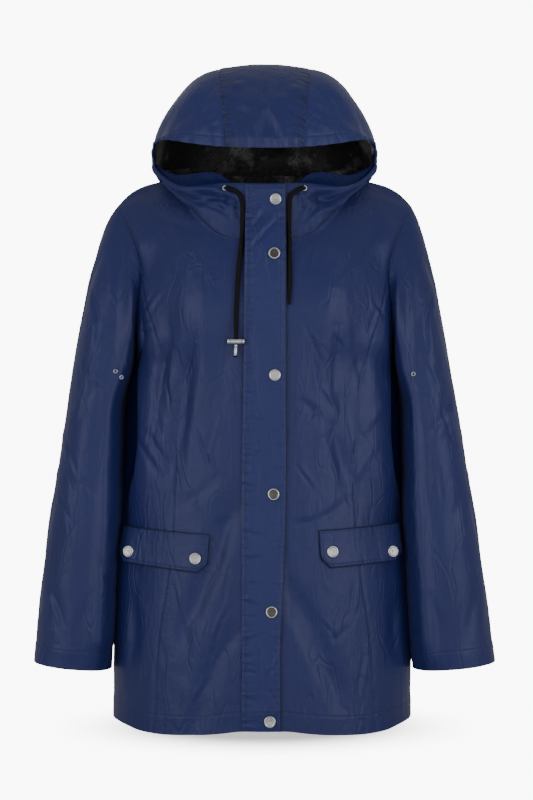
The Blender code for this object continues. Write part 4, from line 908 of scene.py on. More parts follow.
# ---------------------------------------------------------------- body panels
near, far = "near", "far"
FRONT_CREASES = {
    -1: crease_table("""
        6 3.5 .55  -128 -236  -130 -295  -131 -346 | 7 3.2 .4  -96 -243  -100 -301  -106 -359
        4.2 2.8 .6  -151 -346  -137 -372  -123 -398 | 4.2 2.4 .5  -158 -362  -146 -386  -134 -408
        9 2.5 .35  -29 -449  -51 -468  -57 -494  -68 -533  -87 -580
        6 1.5 .3  -29 -601  -47 -623  -64 -649  -77 -681 | 5 1.8 .7  -136 -67  -116 -113  -97 -165
        5 1.4 .5  -146 -78  -127 -122  -108 -170 | 5 2 .5  -150 -58  -121 -74  -85 -86
        9 -2.2 0  -79 -179  -78 -243  -79 -307 | 10 1.8 .3  -40 -205  -52 -262  -55 -320
        7 1.8 .5  -60 -405  -85 -430  -112 -445 | 8 2.2 .4  -112 -590  -100 -630  -104 -672
        2.2 1.1 .8  -114 -240  -101.8 -286 | 2.2 1.2 .8  -89.6 -236.7  -108 -292
        2 1 .8  -127.9 -279.9  -120.1 -319.9 | 2.2 1.2 .8  -144.8 -196.9  -131.1 -172.2
        2.2 1.2 .8  -154 -221  -135.6 -206 | 1.8 .9 .8  -150 -186  -138 -163
        2.4 1 .8  -62 -330  -74 -372  -70 -398 | 2.2 1 .8  -88 -345  -73 -391 | 2.4 1.1 .8  -45 -520  -52 -566
        2.4 1.2 .8  -118 -548  -107 -598 | 2.2 1.1 .8  -70 -640  -58 -600  -46 -575
        2.4 1.1 .8  -90 -700  -73 -668"""),
    1: crease_table("""
        7 3.2 .5  93 -230  91 -282  104 -333 | 6 3 .5  117 -217  123 -262  130 -307
        5 2 .5  46 -307  60 -318  71 -333 | 8.5 2.6 .4  84 -346  95 -378  104 -411
        6.5 2 .45  33 -578  59 -629  78 -668 | 7 2.8 .3  29 -513  33 -565
        5.5 -2.4 0  150 -314  134 -335  118 -359 | 5.5 -2.6 0  143 -359  127 -390  111 -424
        6 2.4 .5  33 -468  71 -462  110 -436 | 5 2 .6  157 -66  131 -112  105 -157
        5 1.8 .6  144 -79  118 -118  92 -151 | 4 1 .5  91 -617  97 -612  104 -604
        10 1.6 .3  50 -190  62 -250  58 -300 | 2.2 1.1 .8  52 -209  73.4 -258.3 | 2 1 .8  88 -221  100.9 -239
        2.2 1.2 .8  140.7 -190  131.7 -221 | 2 1 .8  152 -200  138 -178 | 2.2 1.1 .8  73.4 -294.5  88.8 -319
        2 1 .8  70 -314  58 -332 | 2.2 .8 .8  101 -560  88 -596  92 -628 | 2.2 .7 .8  72 -590  95 -618
        2.2 1 .8  118 -540  111 -585 | 2.2 1 .8  40 -390  62 -420 | 2.4 1.1 .8  130 -640  121 -690"""),
}
BACK_CREASES = crease_table("""
    7.5 3 .5  -125 -120  -95 -175  -88 -240 | 7.5 2.8 .5  128 -130  98 -190  92 -262
    7 3.4 .6  -155 -230  -118 -282  -100 -345 | 7 3.2 .6  158 -245  126 -290  111 -352
    10 3.2 .4  -40 -300  -52 -392  -40 -470 | 10 3 .5  35 -345  50 -430  41 -520
    9 4 .5  -112 -470  -98 -545  -107 -640 | 9 3.8 .5  118 -480  104 -560  118 -655
    8 2.8 .5  10 -560  -12 -625  -8 -700 | 5 2.6 .6  -165 -380  -140 -415  -120 -435
    5 2.4 .6  166 -395  143 -428  124 -452 | 6 1.8 .5  -60 -60  -70 -100  -68 -145
    6 1.8 .5  64 -65  72 -108  66 -150""")


def panel(name, grid, push, lines, centre, open_edges=("bottom",), colour=NAVY, closed=False, roll=0.0006, **looks):
    """A piece of coated cloth in the place of the node of its name."""
    material = cloth_material(name + "_cloth", colour, lines, **looks)
    piece = shell(name + "_shell", grid, material, centre, push, closed, roll=roll, open_edges=open_edges)
    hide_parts(name)
    return piece


CREASE_FREE = 0.25
HEM_STEP, HEM_DEPTH, HEM_LINE = 0.0006, 0.026, 0.0245
TOP_STITCH = 0.0025
# z and reach of the fullness under the arm
UNDER_ARM = (-0.272, 0.036)


def hem_push(points):
    """A turned-up hem: one step thicker below its stitching."""
    down = arc(points, 0)
    return HEM_STEP * ease((HEM_DEPTH - (down[-1:] - down)) / 0.003)


def parts(points):
    """|x|, y and z: both sides of the coat share their shaping."""
    return np.abs(points[..., 0]), points[..., 1], points[..., 2]


def off_placket(x):
    """0 behind the placket and 1 beside it."""
    return ease((x - 0.020) / 0.012)


def lie_flat(points):
    """Share of a fold's depth: 1 away from a pocket flap and little under it."""
    x, _, z = parts(points)
    inside = ease((x - 0.060) / 0.012) * ease((0.205 - x) / 0.012)
    inside = inside * ease((z + 0.535) / 0.012) * ease((-0.455 - z) / 0.012)
    return CREASE_FREE + (1 - CREASE_FREE) * (1.0 - inside)


def armhole_forward(points):
    """The cloth beside the front of the armhole lies further forward, so no deep valley shows."""
    x, y, z = parts(points)
    height = ease((-0.045 - z) / 0.060) * ease((z + 0.268) / 0.050)
    return stack(0.0, -0.012 * hump(x, 0.166, 0.017) * height * ease((0.000 - y) / 0.030), 0.0)


def skirt_forward(points):
    """The skirt's front corners beside the sleeves are squarer."""
    x, y, z = parts(points)
    height = ease((-0.430 - z) / 0.080) * ease((z + 0.710) / 0.060)
    return stack(0.0, -0.0110 * ease((x - 0.163) / 0.030) * height * ease((0.040 - y) / 0.060), 0.0)


def side_swell(points):
    """The front stays broad as far as its side edge, then turns sharply back."""
    x, y, z = parts(points)
    drawn_in = 0.0060 * ease((x - 0.163) / 0.010) * ease((-0.250 - z) / 0.050) * ease((z + 0.440) / 0.060)
    x = x - 0.018 * ease((-0.350 - z) / 0.120)
    height = ease((-0.110 - z) / 0.080) * ease((z + 0.490) / 0.090)
    swell = 0.0085 * ease((x - 0.112) / 0.036) * ease((0.171 - x) / 0.013) * height
    return (swell - drawn_in) * ease((0.010 - y) / 0.030)


def beside(z, side):
    """1 where the sleeve hangs beside the skirt."""
    return ease((-0.400 - z) / 0.04) * ease((z + (0.642 if side < 0 else 0.664)) / 0.02)


FRONT_MIDDLE, BACK_MIDDLE = np.array((0.0, 0.02, -0.4)), np.array((0.0, 0.0, -0.4))
NECK_FADE = 0.006
coat_surfaces = []
for side, side_name in SIDES:
    grid = front_grid(side, rows_up=56, rows_low=236, columns=66)
    x, _, z = parts(grid)
    push = relief(grid[..., 0], z, soften(FRONT_CREASES[side]))
    push = push + crumple(grid, seed=11 + side, wave=0.045, amount=0.0015)
    push = push * lie_flat(grid) * (0.2 + 0.8 * off_placket(x)) * ease(arc(grid, 0) / NECK_FADE) + hem_push(grid)
    push = push + side_swell(grid)
    grid = grid + armhole_forward(grid) + skirt_forward(grid)
    piece = panel(f"front_{side_name}", grid, push, [(far, 0, 0.0022), (far, 1, HEM_LINE), (near, 1, TOP_STITCH)],
                  FRONT_MIDDLE, ("top", "bottom"))
    coat_surfaces.append(grid)

    grid = side_grid(side, rows=210, columns=44)
    x, _, z = parts(grid)
    low_crease = ([(side * 0.178, -0.560), (side * 0.172, -0.610), (side * 0.182, -0.680)], 0.0080, 0.0030, 0.4)
    push = relief(grid[..., 0], z, soften(FRONT_CREASES[side] + [low_crease]))
    push = push + crumple(grid, seed=21 + side, wave=0.042, amount=0.0015)
    push = push + 0.0012 * ease((x - 0.164) / 0.010) * hump(z, *UNDER_ARM)
    push = push * lie_flat(grid) + hem_push(grid) + side_swell(grid)
    push = push + 0.0024 * beside(z, side) * ease((x - 0.185) / 0.010)
    grid = grid + armhole_forward(grid) + skirt_forward(grid)
    piece = panel(f"front_{side_name}_side", grid, push, [(far, 1, HEM_LINE), (near, 1, 0.0022)], FRONT_MIDDLE)
    coat_surfaces.append(grid)

grid = back_grid(rows_up=50, rows_low=190, columns=74)
push = relief(grid[..., 0], grid[..., 2], BACK_CREASES)
push = push + crumple(grid, seed=31, wave=0.05, amount=0.0026) + hem_push(grid)
piece = panel("back", grid, push, [(far, 1, HEM_LINE), (near, 1, TOP_STITCH), (near, 0, 0.003), (far, 0, 0.003)],
              BACK_MIDDLE)

# ---------------------------------------------------------------- sleeves
SLEEVE_FRONT_CREASES = {
    -1: crease_table("""
        7 -2.8 0  180 -124  184 -183  189 -242 | 5 -2.5 0  184 -294  188 -380  192 -465
        6 3 .3  200 -281  203 -373  205 -465 | 5 2.6 .6  215.6 -268  229 -301  242 -334
        5 2.4 .5  222 -504  209 -537  198 -570 | 9 2.6 .5  222 -110  212 -170  214 -235
        7 2.2 .6  262 -395  246 -440  243 -500 | 7 2 .5  285 -540  270 -580  262 -625
        6.5 2.4 .5  226 -560  240 -600  236 -645 | 2.4 1.3 .8  211.7 -234.9  224.4 -269.7
        2.4 1.3 .8  224.4 -269.7  208.7 -301.2 | 2.4 1.2 .8  237 -257  224.4 -291.6
        2.6 1.3 .8  262 -360  245 -405 | 2.6 1.2 .8  270 -430  254 -470  252 -500
        2.4 1.2 .8  240 -400  222 -440 | 2.6 1.2 .8  281 -560  262 -602 | 3 1.3 .8  230 -150  219 -200  221 -232"""),
    1: crease_table("""
        7 -2.8 0  178 -124  183 -183  188 -242 | 5.5 -2.6 0  189.4 -347  192 -439  193 -530
        9 2.6 .5  215 -130  206 -195  210 -262 | 7 2.8 .4  206 -300  212 -372  208 -450
        5 2.6 .6  246 -300  231 -332  215 -352 | 7 2.2 .5  262 -420  248 -470  246 -520
        6.5 2.4 .5  215 -560  228 -600  226 -645 | 7 2 .5  286 -550  272 -590  266 -635
        2.4 1.4 .8  213 -263  228.3 -298 | 2.2 1.2 .8  232.8 -315.3  243.4 -341.7
        2.2 1.3 .8  250 -311  232.8 -324.3 | 2.4 1.3 .8  234.9 -326.4  250.2 -368.1
        2.2 1 .8  188.5 -306.7  192.5 -341.7 | 2.4 1.2 .8  228.3 -394.2  232.8 -438
        2.4 1.2 .8  264 -470  247 -505 | 3 1.3 .8  222 -160  212 -205  215 -240"""),
}
SLEEVE_BACK_CREASES = crease_table("""
    8 2.8 .5  200 -130  212 -190  205 -260 | 5.5 3.2 .6  245 -290  222 -330  204 -350
    5.5 2.8 .6  250 -325  230 -365  208 -385 | 8 2.6 .5  262 -430  248 -490  252 -550
    7 2.4 .5  225 -520  238 -580  232 -640""")
SLEEVE_OUTER_CREASES = crease_table("""
    9 2.6 .5  -50 -110  -30 -180  -42 -250 | 9 2.6 .5  45 -130  22 -200  30 -270
    6 3 .6  40 -300  10 -335  -25 -345 | 6 2.6 .6  35 -350  5 -380  -30 -395
    8 2.6 .5  -50 -450  -30 -520  -42 -590 | 8 2.4 .5  20 -500  4 -560  12 -630""")
sleeve_surfaces = []
for side, side_name in SIDES:
    grid = sleeve_grid(side, rows=208, columns=132)
    x, y, z = grid[..., 0] * side, grid[..., 1], grid[..., 2]
    down = arc(grid, 0)
    least, most = x.min(axis=1, keepdims=True), x.max(axis=1, keepdims=True)
    middle = (most + least) / 2
    front_mask = ease((0.02 - y) / 0.03)
    outer_mask = ease((x - middle) / 0.02) * ease((0.05 - np.abs(y + 0.015)) / 0.02)
    push = relief(x, z, soften(SLEEVE_FRONT_CREASES[side])) * front_mask
    push = push + relief(x, z, SLEEVE_BACK_CREASES) * (1.0 - front_mask)
    push = push * (1 - 0.6 * outer_mask) + relief(y, z, SLEEVE_OUTER_CREASES) * outer_mask
    push = push + crumple(grid, seed=41 + side, wave=0.040, amount=0.0019)
    push = push * (CREASE_FREE + (1 - CREASE_FREE) * ease(down / 0.02)) + hem_push(grid)
    inner_side = ease((middle - x) / 0.01)
    push = np.where(push > 0, push * (1 - 0.8 * inner_side), push)
    under_arm = ease((middle - x) / 0.04) * hump(z, *UNDER_ARM)
    push = push * (1 - 0.9 * under_arm) + 0.0026 * under_arm
    push = push + 0.0022 * beside(z, side) * ease((middle - x) / 0.04)
    # The front of the sleeve is fuller beside the body.
    full = hump((x - least) / (most - least), 0.11, 0.15) * ease((-0.010 - y) / 0.030)
    full = full * ease((-0.115 - z) / 0.060) * ease((z + 0.680) / 0.060) * ease((down - 0.002) / 0.030)
    toward_body = -side * 0.0085 * full * ease((z + 0.315) / 0.060)
    grid = grid + armhole_forward(grid) + stack(toward_body, -0.0170 * full, 0.0)
    centre = np.mean(grid, axis=1, keepdims=True)
    piece = panel(f"sleeve_{side_name}", grid, push, [(near, 1, TOP_STITCH), (far, 1, HEM_LINE)], centre, closed=True)
    sleeve_surfaces.append(grid + grid_normals(grid, True, centre) * push[..., None])

# ---------------------------------------------------------------- hood
def neck_gathers(grid, side):
    """Small pleats that run up from the neckline seam."""
    down = arc(grid, 0)
    up = down[-1:] - down
    along = arc(grid, 1)[-1:]
    rng = np.random.default_rng(5 + side)
    wave = 0.0
    for _ in range(5):
        wave = wave + np.sin(along * 2 * math.pi / rng.uniform(0.012, 0.034) + rng.uniform(0, 6))
    return 0.0008 * wave * hump(up, 0.0, 0.022) * ease(up / 0.004)


def crown_swell(points):
    """The hood is flatter on top and fuller at its upper corners."""
    x, z = points[..., 0], points[..., 2]
    corner = 0.0050 * hump(x, -0.085, 0.030) + 0.0068 * hump(x, 0.088, 0.030)
    return corner * ease((z - 0.055) / 0.035)


def rolled_rim(distance, bead, groove):
    """The cord's tunnel at the mouth: a bead, then the groove of its stitching."""
    return bead * hump(distance, 0.0055, 0.0045) - groove * hump(distance, 0.0185, 0.0062)


def brim_ripple(along, down, wave, bend, phase, reach):
    """The brim's edge ripples, with a furrow at its stitches."""
    ripple = np.sin(along * 2 * math.pi / wave + bend * np.sin(along * phase))
    return 0.0007 * ripple * hump(down, 0.0, reach) - 0.0003 * hump(down, BRIM_LINE, 0.0022)


THROAT_TUCKS = crease_table("""
    2.6 2.6 .8  -52 -34  -50 -48  -44 -66 | 2.8 2.2 .8  -64 -36  -61 -50  -55 -62
    2.4 2 .8  -42 -36  -38 -52  -36 -70 | 2.6 2.6 .8  50 -34  52 -50  49 -66
    2.8 2.2 .8  66 -36  70 -50  62 -64 | 2.4 1.8 .8  42 -36  43 -52  44 -70
    4.2 4 .7  -101 -35  -66 -44  -43 -50  -31 -70.5 | 3.4 2.4 .6  -90 -50  -62 -58  -46 -68
    4.2 4 -.7  128 -27  92 -37  63 -45  46 -64 | 3.4 2.2 .6  96 -48  70 -58  52 -74""")
HOOD_SIDE_CREASES = crease_table("""
    7 3 .5  62 98  82 74  112 52 | 4.5 1.8 .5  56 60  66 52  78 50 | 4 1.6 .5  56 46  70 40
    6 2.2 .5  58 70  76 62  96 46 | 6 2.2 .5  120 66  132 48  139 30""")
CENTER_CREASES = crease_table("""
    4.2 -3.4 0  2.5 73  12 54  23 32 | 4.2 -2.8 0  0 73  -6 54  -12 32 | 5.5 2.6 0  1 62  3 46  4 34
    5 1.8 .5  -1 98  -2 86  0 76 | 8.5 -4 0  -34 104  -30 92 | 9.5 -4.2 0  42 98  33 82
    7 2.8 .4  -48 72  -30 60  -16 56 | 6 2.2 .4  30 66  44 56 | 6 1.8 .5  -40 110  -22 98  -4 92
    6 1.8 .5  44 104  26 92  10 90""")
HOOD_MIDDLE, THROAT_MIDDLE = np.array((0.0, 0.0, 0.02)), np.array((0.0, 0.0, -0.05))
MOUTH_CORNER, LAST_RIB, LAST_COLUMN = 7.0, 9.0, 16.0
BRIM_LINE = 0.0135
for side, side_name in SIDES:
    part = in_column(0.0, 1.0, 40)
    coat_surfaces.append(hood_lower(in_row(0.0, LAST_COLUMN, 150), part, side))
    # The two halves meet at the widest line: they are one grid from the mouth's corner back.
    upper = hood_upper(in_row(0.0, LAST_RIB, 110), in_column(1.0, 0.0, 64), side)
    whole = np.concatenate([upper, hood_lower(in_row(MOUTH_CORNER, LAST_COLUMN, 110), part[1:], side)])
    throat = hood_lower(in_row(0.0, MOUTH_CORNER, 60), part, side)

    column_arc = arc(whole, 1)
    x, y, z = parts(whole)
    push = relief(x, z, HOOD_SIDE_CREASES) * ease((0.02 - y) / 0.05)
    push = push + crumple(whole, seed=51 + side, wave=0.040, amount=0.0026)
    push = push + brim_ripple(arc(whole, 0), column_arc, 0.019, 1.7, 60.0, 0.022)
    push = push + ease((0.016 - z) / 0.010) * ease((0.06 - y) / 0.05) * rolled_rim(column_arc, 0.0018, 0.0045)
    push = push + neck_gathers(whole, side) + crown_swell(whole)
    piece = panel(f"hood_{side_name}", whole, push, [(near, 0, BRIM_LINE), (far, 1, TOP_STITCH)], HOOD_MIDDLE, (),
                  HOOD_SIDE_LIT_NAVY)

    x, down = np.abs(throat[..., 0]), arc(throat, 0)
    push = crumple(throat, seed=71 + side, wave=0.030, amount=0.0022) + neck_gathers(throat, side)
    push = push + rolled_rim(down, 0.0022, 0.0070) * ease((x - 0.056) / 0.020)
    push = push + relief(throat[..., 0], throat[..., 2], THROAT_TUCKS)
    push = push * off_placket(x) * ease((down[-1:] - down) / NECK_FADE)
    # The throat's lower edge, at the neckline seam, gets a band of painted shade.
    material = cloth_material(f"throat_{side_name}_cloth", NAVY, [(near, 1, BRIM_LINE), (far, 1, TOP_STITCH)],
                              roughness=0.58, pucker=1.3, edges=[(far, 1)])
    front = shell(f"hood_{side_name}_throat", throat, material, centre=THROAT_MIDDLE, push=push,
                  open_edges=("bottom",))
    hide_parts(f"hood_{side_name}")

grid = hood_center(in_column(0.0, 19.0, 210), in_row(-1.0, 1.0, 60))
x, y, z = grid[..., 0], grid[..., 1], grid[..., 2]
push = relief(x, z, CENTER_CREASES) * ease((0.0 - y) / 0.05) + crumple(grid, seed=81, wave=0.038, amount=0.0026)
push = push + brim_ripple(arc(grid, 1), arc(grid, 0), 0.017, 1.3, 75.0, 0.020) + crown_swell(grid)
stitches = [(near, 0, 0.0026), (far, 0, 0.0026), (near, 1, BRIM_LINE), (far, 1, TOP_STITCH)]
# The hood's middle panel gets painted shade in the puckered valleys beside its seams.
piece = panel("hood_center", grid, push, stitches, HOOD_MIDDLE, (), pucker=6.5, ticks=0.85)

LINING_WALL, LINING_INSET, LINING_START = 0.0007, 0.0052, 0.35
LINING_MIDDLE = np.array((0.0, 0.0, 0.03))
BELOW_NECK = np.array((0.0, 0.0, -0.022))


def lining_piece(name, grid, seed):
    """Mesh inside the hood's panel, which runs on below the neckline inside the coat, where its black is partly
    lining and partly painted shade inside the coat's neck.
    """
    inner = grid - grid_normals(grid, False, LINING_MIDDLE) * LINING_INSET
    last = inner[-1:]
    inward = unit((np.array((0.0, 0.02, 0.0)) - last) * (1.0, 1.0, 0.0))
    steps = np.linspace(0.2, 1.0, 6)[:, None, None]
    inner = np.concatenate([inner, last + (inward * 0.004 + BELOW_NECK) * steps])
    slack = crumple(inner, seed=seed, wave=0.045, amount=0.0075, count=7)
    return shell(name, inner, lining_mesh, thickness=LINING_WALL, centre=LINING_MIDDLE, push=-np.abs(slack) - 0.0002,
                 open_edges=ALL_EDGES)


side_linings = []
for side, side_name in SIDES:
    upper = hood_upper(in_row(LINING_START, LAST_RIB, 90), in_column(1.0, 0.0, 50), side)
    lower = hood_lower(in_row(MOUTH_CORNER + LINING_START, LAST_COLUMN, 90), in_column(0.0, 0.97, 30)[1:], side)
    side_linings.append(lining_piece(f"lining_{side_name}", np.concatenate([upper, lower]), 101 + side))
lining = lining_piece("lining_middle", hood_center(in_column(LINING_START, 18.9, 150), in_row(-1.06, 1.06, 46)), 105)
for piece in [lining] + side_linings:
    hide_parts("hood_lining")

FACING_WALL = 0.0009
CORNER_MIDDLE = np.array((0.0, 0.0, 0.01))
# column of the funnel, height above the lip
FACING_RISE = metres("""
    0 -4 | 1 -4 | 1.7 0 | 2 7 | 2.5 15 | 3 17.5 | 4 18 | 5 12 | 6 6 | 7 1 | 7.3 0""", 1)
for side, side_name in SIDES:
    column = in_row(0.0, 7.9, 140)
    base = hood_lower(column, in_column(0.0, 0.45, 26), side)
    normal = grid_normals(base, False, THROAT_MIDDLE)
    base = base - normal * (0.0028 + 0.0070 * ease((arc(base, 0) - 0.006) / 0.009))[..., None]
    rise = curve(*FACING_RISE.T)(column)[..., None]
    step = np.linspace(1.0, 0.0, 18, endpoint=False)[:, None, None]
    lean = np.array((-0.10 * side, 0.35, 1.0))
    standing = base[:1] + rise * step * lean + np.array((0.0, 0.0025, 0.0)) * (1 - step) * step * 4
    grid = np.concatenate([standing, base])
    slack = crumple(grid, seed=111 + side, wave=0.018, amount=0.0065, count=6)
    push = slack * ease(in_column(0, 1, len(grid)) / 0.1 + 0.4)
    piece = shell(f"facing_{side_name}", grid, facing_cloth, thickness=FACING_WALL, centre=THROAT_MIDDLE,
                  push=np.minimum(push, 0.0004), open_edges=("first", "last", "bottom"))
    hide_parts(f"hood_facing_{side_name}")
    corner = hood_upper(in_row(0.0, 0.75, 16), in_column(0.62, 0.0, 40), side)
    outward = unit((corner - CORNER_MIDDLE) * (1.0, 0.25, 0.5))
    corner = corner - outward * 0.0026 + np.array((0.0, -0.0004, 0.0))
    band = shell(f"facing_{side_name}_corner", corner, facing_cloth, thickness=FACING_WALL,
                 centre=CORNER_MIDDLE, open_edges=ALL_EDGES)
    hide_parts(f"hood_facing_{side_name}")

# ---------------------------------------------------------------- placket, flaps
def surface_tree(grids):
    points, faces, base = [], [], 0
    for grid in grids:
        rows, columns = grid.shape[:2]
        index = np.arange(rows * columns).reshape(rows, columns) + base
        points += grid.reshape(-1, 3).tolist()
        faces += quads_of(index).tolist()
        base += rows * columns
    return BVHTree.FromPolygons(points, faces)


def seat(tree, x, z):
    """The place and the normal where a line from the front meets a surface."""
    place, normal, _, _ = tree.ray_cast(Vector((x, -1.0, z)), Vector((0.0, 1.0, 0.0)))
    return place, -normal if normal.y > 0 else normal


def tilted(normal, ahead):
    """A normal turned toward the front."""
    return (normal + Vector((0.0, -ahead, 0.0))).normalized()


PLACKET_CREASES = crease_table("""
    2.6 1.9 .6  -21.2 -90  -10 -76  .6 -60 | 2.6 2 .6  -17.4 -112  2 -90  22.5 -69
    2.2 .7 .7  -27 -205  -12 -208 | 2.4 .6 .7  -27 -262  -6 -258 | 2.2 .6 .7  27 -287  10 -292
    2.6 .7 .7  -27 -330  2 -334 | 2.4 .6 .7  27 -352  4 -347 | 2.4 .8 .7  -27 -379  -3 -375
    2.2 .7 .7  -27 -416  -8 -421 | 2.2 .6 .7  26 -441  8 -437 | 2.6 .8 .7  -26 -478  -2 -482
    2.4 .8 .7  -26 -512  0 -508 | 2.2 .6 .7  -26 -541  -10 -544 | 2.6 .9 .7  -26 -566  -6 -572
    2.4 .8 .7  -26 -616  -4 -609 | 2.2 .6 .7  26 -600  10 -605 | 2.2 .7 .7  -26 -655  -8 -658""")
BRIDGE_REACH, BRIDGE_WIDTH = 14, 7.0
PLACKET_LIFT = 0.0026


def bridged(y):
    """The placket bridges the hollows below it: the foremost of the rows near by, smoothed."""
    rows, reach = len(y), BRIDGE_REACH
    padded = np.concatenate([np.repeat(y[:1], reach, 0), y, np.repeat(y[-1:], reach, 0)])
    ahead = np.min([padded[k:k + rows] for k in range(2 * reach + 1)], axis=0)
    kernel = np.exp(-(np.arange(-reach, reach + 1) / BRIDGE_WIDTH) ** 2)
    kernel /= kernel.sum()
    padded = np.concatenate([np.repeat(ahead[:1], reach, 0), ahead, np.repeat(ahead[-1:], reach, 0)])
    return np.minimum(sum(w * padded[k:k + rows] for k, w in enumerate(kernel)), y)


coat_tree = surface_tree(coat_surfaces)
z = in_column(PLACKET[-1, 0], PLACKET[0, 0], 300)
right_x, left_x = [edge_at(z) for edge_at in curves_of(PLACKET)]
x = right_x + (left_x - right_x) * in_row(0, 1, 25)
heights = np.clip(z, HEM_Z + 0.001, PLACKET[-1, 0] - 0.001)[:, 0]
y = np.array([[seat(coat_tree, across, height)[0].y for across in row] for row, height in zip(x, heights)])
grid = stack(x, bridged(y) - PLACKET_LIFT, z)
push = relief(grid[..., 0], grid[..., 2], PLACKET_CREASES) + crumple(grid, seed=91, wave=0.022, amount=0.0010)
across = arc(grid, 1)
push = np.maximum(push, -0.0012) + 0.0013 * hump(across[:, -1:] - across, 0.0, 0.006)
stitches = [(near, 0, 0.0045), (near, 0, 0.0065), (far, 0, 0.0060), (near, 1, 0.004), (far, 1, HEM_LINE)]
# The placket's free edge gets a band of painted shade.
placket = panel("placket", grid, push, stitches, BACK_MIDDLE, (), PLACKET_LIT_NAVY, roll=0.0007, pucker=1.8,
                edges=[(far, 0)])
placket_tree = surface_tree([grid + np.array((0.0, -0.0002, 0.0))])

SNAP_RADIUS, SNAP_HEIGHT, SNAP_RECESS = 0.00775, 0.0022, 0.76
SNAP_SHARES = """
    0 .5 | .14 .52 | .24 .62 | .52 .66 | .62 .6 | .7 .7 | .78 .97 | .84 1 | .91 .92 | .97 .66 | 1 .35
    .985 .08 | .95 0 | 0 0"""
# Placket snaps whose centres get the darkest painted reflection.
DARK_REFLECTION_SNAPS = ("snap_placket_2", "snap_placket_4", "snap_placket_5")


def add_snap(name, place, normal):
    mesh = turned(name + "_cap", scaled(SNAP_RADIUS, SNAP_HEIGHT, SNAP_SHARES), 56)
    recessed = [math.hypot(*polygon.center[:2]) < SNAP_RADIUS * SNAP_RECESS for polygon in mesh.polygons]
    stand(mesh, place + normal * GAP, normal)
    item = link(name + "_cap", mesh, steel, smooth_angle=50.0)
    # Painted reflection: the recessed centre takes a darker metal than the rim.
    mesh.materials.append(snap_centre_dark_reflection if name in DARK_REFLECTION_SNAPS else snap_centre_dim_reflection)
    mesh.polygons.foreach_set("material_index", [int(low) for low in recessed])
    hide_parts(name)


for number, (px, pz) in enumerate(PLACKET_SNAPS, 1):
    add_snap(f"snap_placket_{number}", *seat(placket_tree, px, pz))

FLAP_MIDDLE = np.array((0.0, 0.0, -0.5))
FLAP_LIFT, FLAP_WALL = 0.0030, 0.0016
# A flap's four edges: its stitches run along them, and each gets a band of painted shade.
FLAP_EDGES = [(near, 1), (far, 1), (near, 0), (far, 0)]
FLAP_STITCHES = [(*edge, offset) for edge, offset in zip(FLAP_EDGES, (0.0030, 0.0045, 0.0045, 0.0045))]
# Where the corners of a flap's lower edge lie, as shares of its width.
FLAP_CORNERS = (0.0, 0.10, 0.93, 1.0)
for side, side_name in SIDES:
    outline, snaps = FLAPS[side], FLAP_SNAPS[side]
    top_side, top_mid = outline[:2]
    rows, columns = 30, 70
    share = np.linspace(0, 1, columns)
    low_line = np.stack([np.interp(share, FLAP_CORNERS, outline[2:, i]) for i in (0, 1)], -1)
    top_line = top_mid + (top_side - top_mid) * share[:, None]
    down = in_column(0, 1, rows)
    flat = top_line + (low_line - top_line) * down[..., None]
    grid = np.zeros((rows, columns, 3))
    for i in range(rows):
        for j in range(columns):
            place, normal = seat(coat_tree, side * flat[i, j, 0], flat[i, j, 1])
            clear = 0.008 * ease((flat[i, j, 0] - 0.140) / (top_side[0] - 0.140))
            grid[i, j] = place + normal * FLAP_LIFT - Vector((0.0, clear, 0.0))
    for _ in range(6):
        inner = grid[1:-1, 1:-1]
        inner[:] = (inner * 2 + grid[:-2, 1:-1] + grid[2:, 1:-1] + grid[1:-1, :-2] + grid[1:-1, 2:]) / 6
    push = 0.0016 * down ** 2 + crumple(grid, seed=95 + side, wave=0.022, amount=0.0010)
    material = cloth_material(f"flap_{side_name}_cloth", NAVY, FLAP_STITCHES, pucker=1.6, edges=FLAP_EDGES)
    flap = shell(f"flap_{side_name}_shell", grid, material, FLAP_MIDDLE, push, thickness=FLAP_WALL, roll=0.0007)
    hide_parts(f"pocket_flap_{side_name}")
    flap_tree = surface_tree([grid + grid_normals(grid, False, FLAP_MIDDLE) * push[..., None]])
    for number, (px, pz) in enumerate(snaps, 1):
        place, normal = seat(flap_tree, side * px, pz)
        add_snap(f"snap_flap_{side_name}_{number}", place, tilted(normal, 0.7))


# ---------------------------------------------------------------- eyelets
CORD_EYELET_SCALE, SLEEVE_EYELET_SCALE = 0.86, 0.66


def add_eyelet(name, place, normal, scale):
    outer, hole, height = 0.0045 * scale, 0.0022 * scale, 0.0014
    wall, middle = (outer - hole) / 2, (outer + hole) / 2
    angles = [math.pi * k / 14 for k in range(15)]
    crown = [(middle + wall * math.cos(a), height * (0.15 + 0.85 * math.sin(a))) for a in angles]
    mesh = turned(name + "_ring", [(outer, 0.0)] + crown + [(hole, 0.0), (outer, 0.0)], 40)
    stand(mesh, place + normal * GAP, normal)
    item = link(name + "_ring", mesh, nickel, smooth_angle=50.0)
    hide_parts(name)


for side_name, (px, pz) in CORD_EYELETS.items():
    add_eyelet(f"eyelet_cord_{side_name}", *seat(coat_tree, px, pz), CORD_EYELET_SCALE)
sleeve_tree = surface_tree([np.concatenate([grid, grid[:, :1]], 1) for grid in sleeve_surfaces])
for name, (px, pz) in SLEEVE_EYELETS.items():
    place, normal = seat(sleeve_tree, px, pz)
    add_eyelet(name, place, tilted(normal, 0.8), SLEEVE_EYELET_SCALE)

# ---------------------------------------------------------------- floor and light
FLOOR_Z = -0.748
mesh = bpy.data.meshes.new("floor")
mesh.from_pydata([(-30, -4, FLOOR_Z), (30, -4, FLOOR_Z), (30, 60, FLOOR_Z), (-30, 60, FLOOR_Z)], [], [(0, 1, 2, 3)])
n = Nodes("pale_floor")
x, y, _ = n.split(n.place())
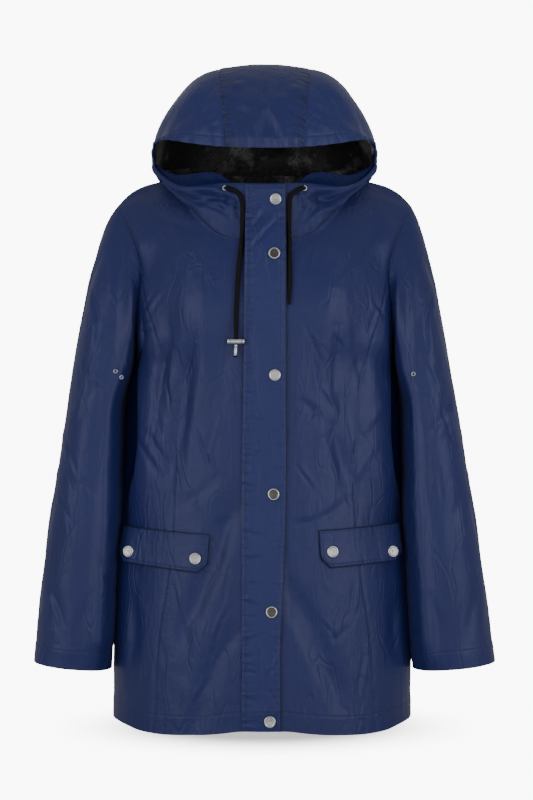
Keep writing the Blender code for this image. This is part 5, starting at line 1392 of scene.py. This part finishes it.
# The floor glows as white as the wall behind, except in a soft shade round the coat's foot.
ring = n.math("SQRT", (x / 0.190) ** 2.0 + ((y + 0.010) / 0.130) ** 2.0)
clear = n.add("MapRange", {"interpolation_type": "SMOOTHSTEP"}, "Result", Value=ring,
              From_Min=0.60, From_Max=1.60, To_Min=0.09)
glow = clear * n.add("LightPath", output="Is Camera Ray") * 9.0
n.put(n.shader, {"Base Color": (0.80, 0.80, 0.80, 1.0), "Roughness": 0.9, "Emission Color": (1.0, 1.0, 1.0, 1.0),
                 "Emission Strength": glow})
mesh.materials.append(n.material)
floor = bpy.data.objects.new("floor", mesh)
bpy.context.scene.collection.objects.link(floor)

WORLD_LIGHT, WORLD_SEEN = 0.44, 9.5
world = bpy.data.worlds.new("studio")
bpy.context.scene.world = world
world.use_nodes = True
nodes, links = world.node_tree.nodes, world.node_tree.links
background = nodes["Background"]
background.inputs[0].default_value = (1.0, 1.0, 1.0, 1.0)
strength = nodes.new("ShaderNodeMapRange")
links.new(nodes.new("ShaderNodeLightPath").outputs["Is Camera Ray"], strength.inputs["Value"])
strength.inputs["To Min"].default_value = WORLD_LIGHT
strength.inputs["To Max"].default_value = WORLD_SEEN
links.new(strength.outputs["Result"], background.inputs[1])

# name: location, aim, size, energy
LIGHTS = {
    "key": ((-1.9, -2.2, 0.0), (0.0, 0.0, -0.42), (1.4, 1.8), 26.5),
    "fill": ((1.9, -2.1, -0.15), (0.0, 0.0, -0.45), (1.4, 1.8), 30.0),
    "front": ((0.0, -3.2, -0.85), (0.0, 0.0, -0.45), (2.6, 1.0), 22.0),
    "back": ((0.0, 3.0, 0.5), (0.0, 0.0, -0.35), (2.4, 2.0), 12.0),
    "top": ((0.0, -0.6, 2.2), (0.0, 0.0, -0.2), (1.6, 1.2), 2.5),
}
for name, (location, aim, size, energy) in LIGHTS.items():
    data = bpy.data.lights.new(name, "AREA")
    data.shape = "RECTANGLE"
    data.size, data.size_y = size
    data.energy = energy
    item = bpy.data.objects.new(name, data)
    item.location = location
    item.rotation_euler = (Vector(aim) - Vector(location)).to_track_quat("-Z", "Y").to_euler()
    bpy.context.scene.collection.objects.link(item)
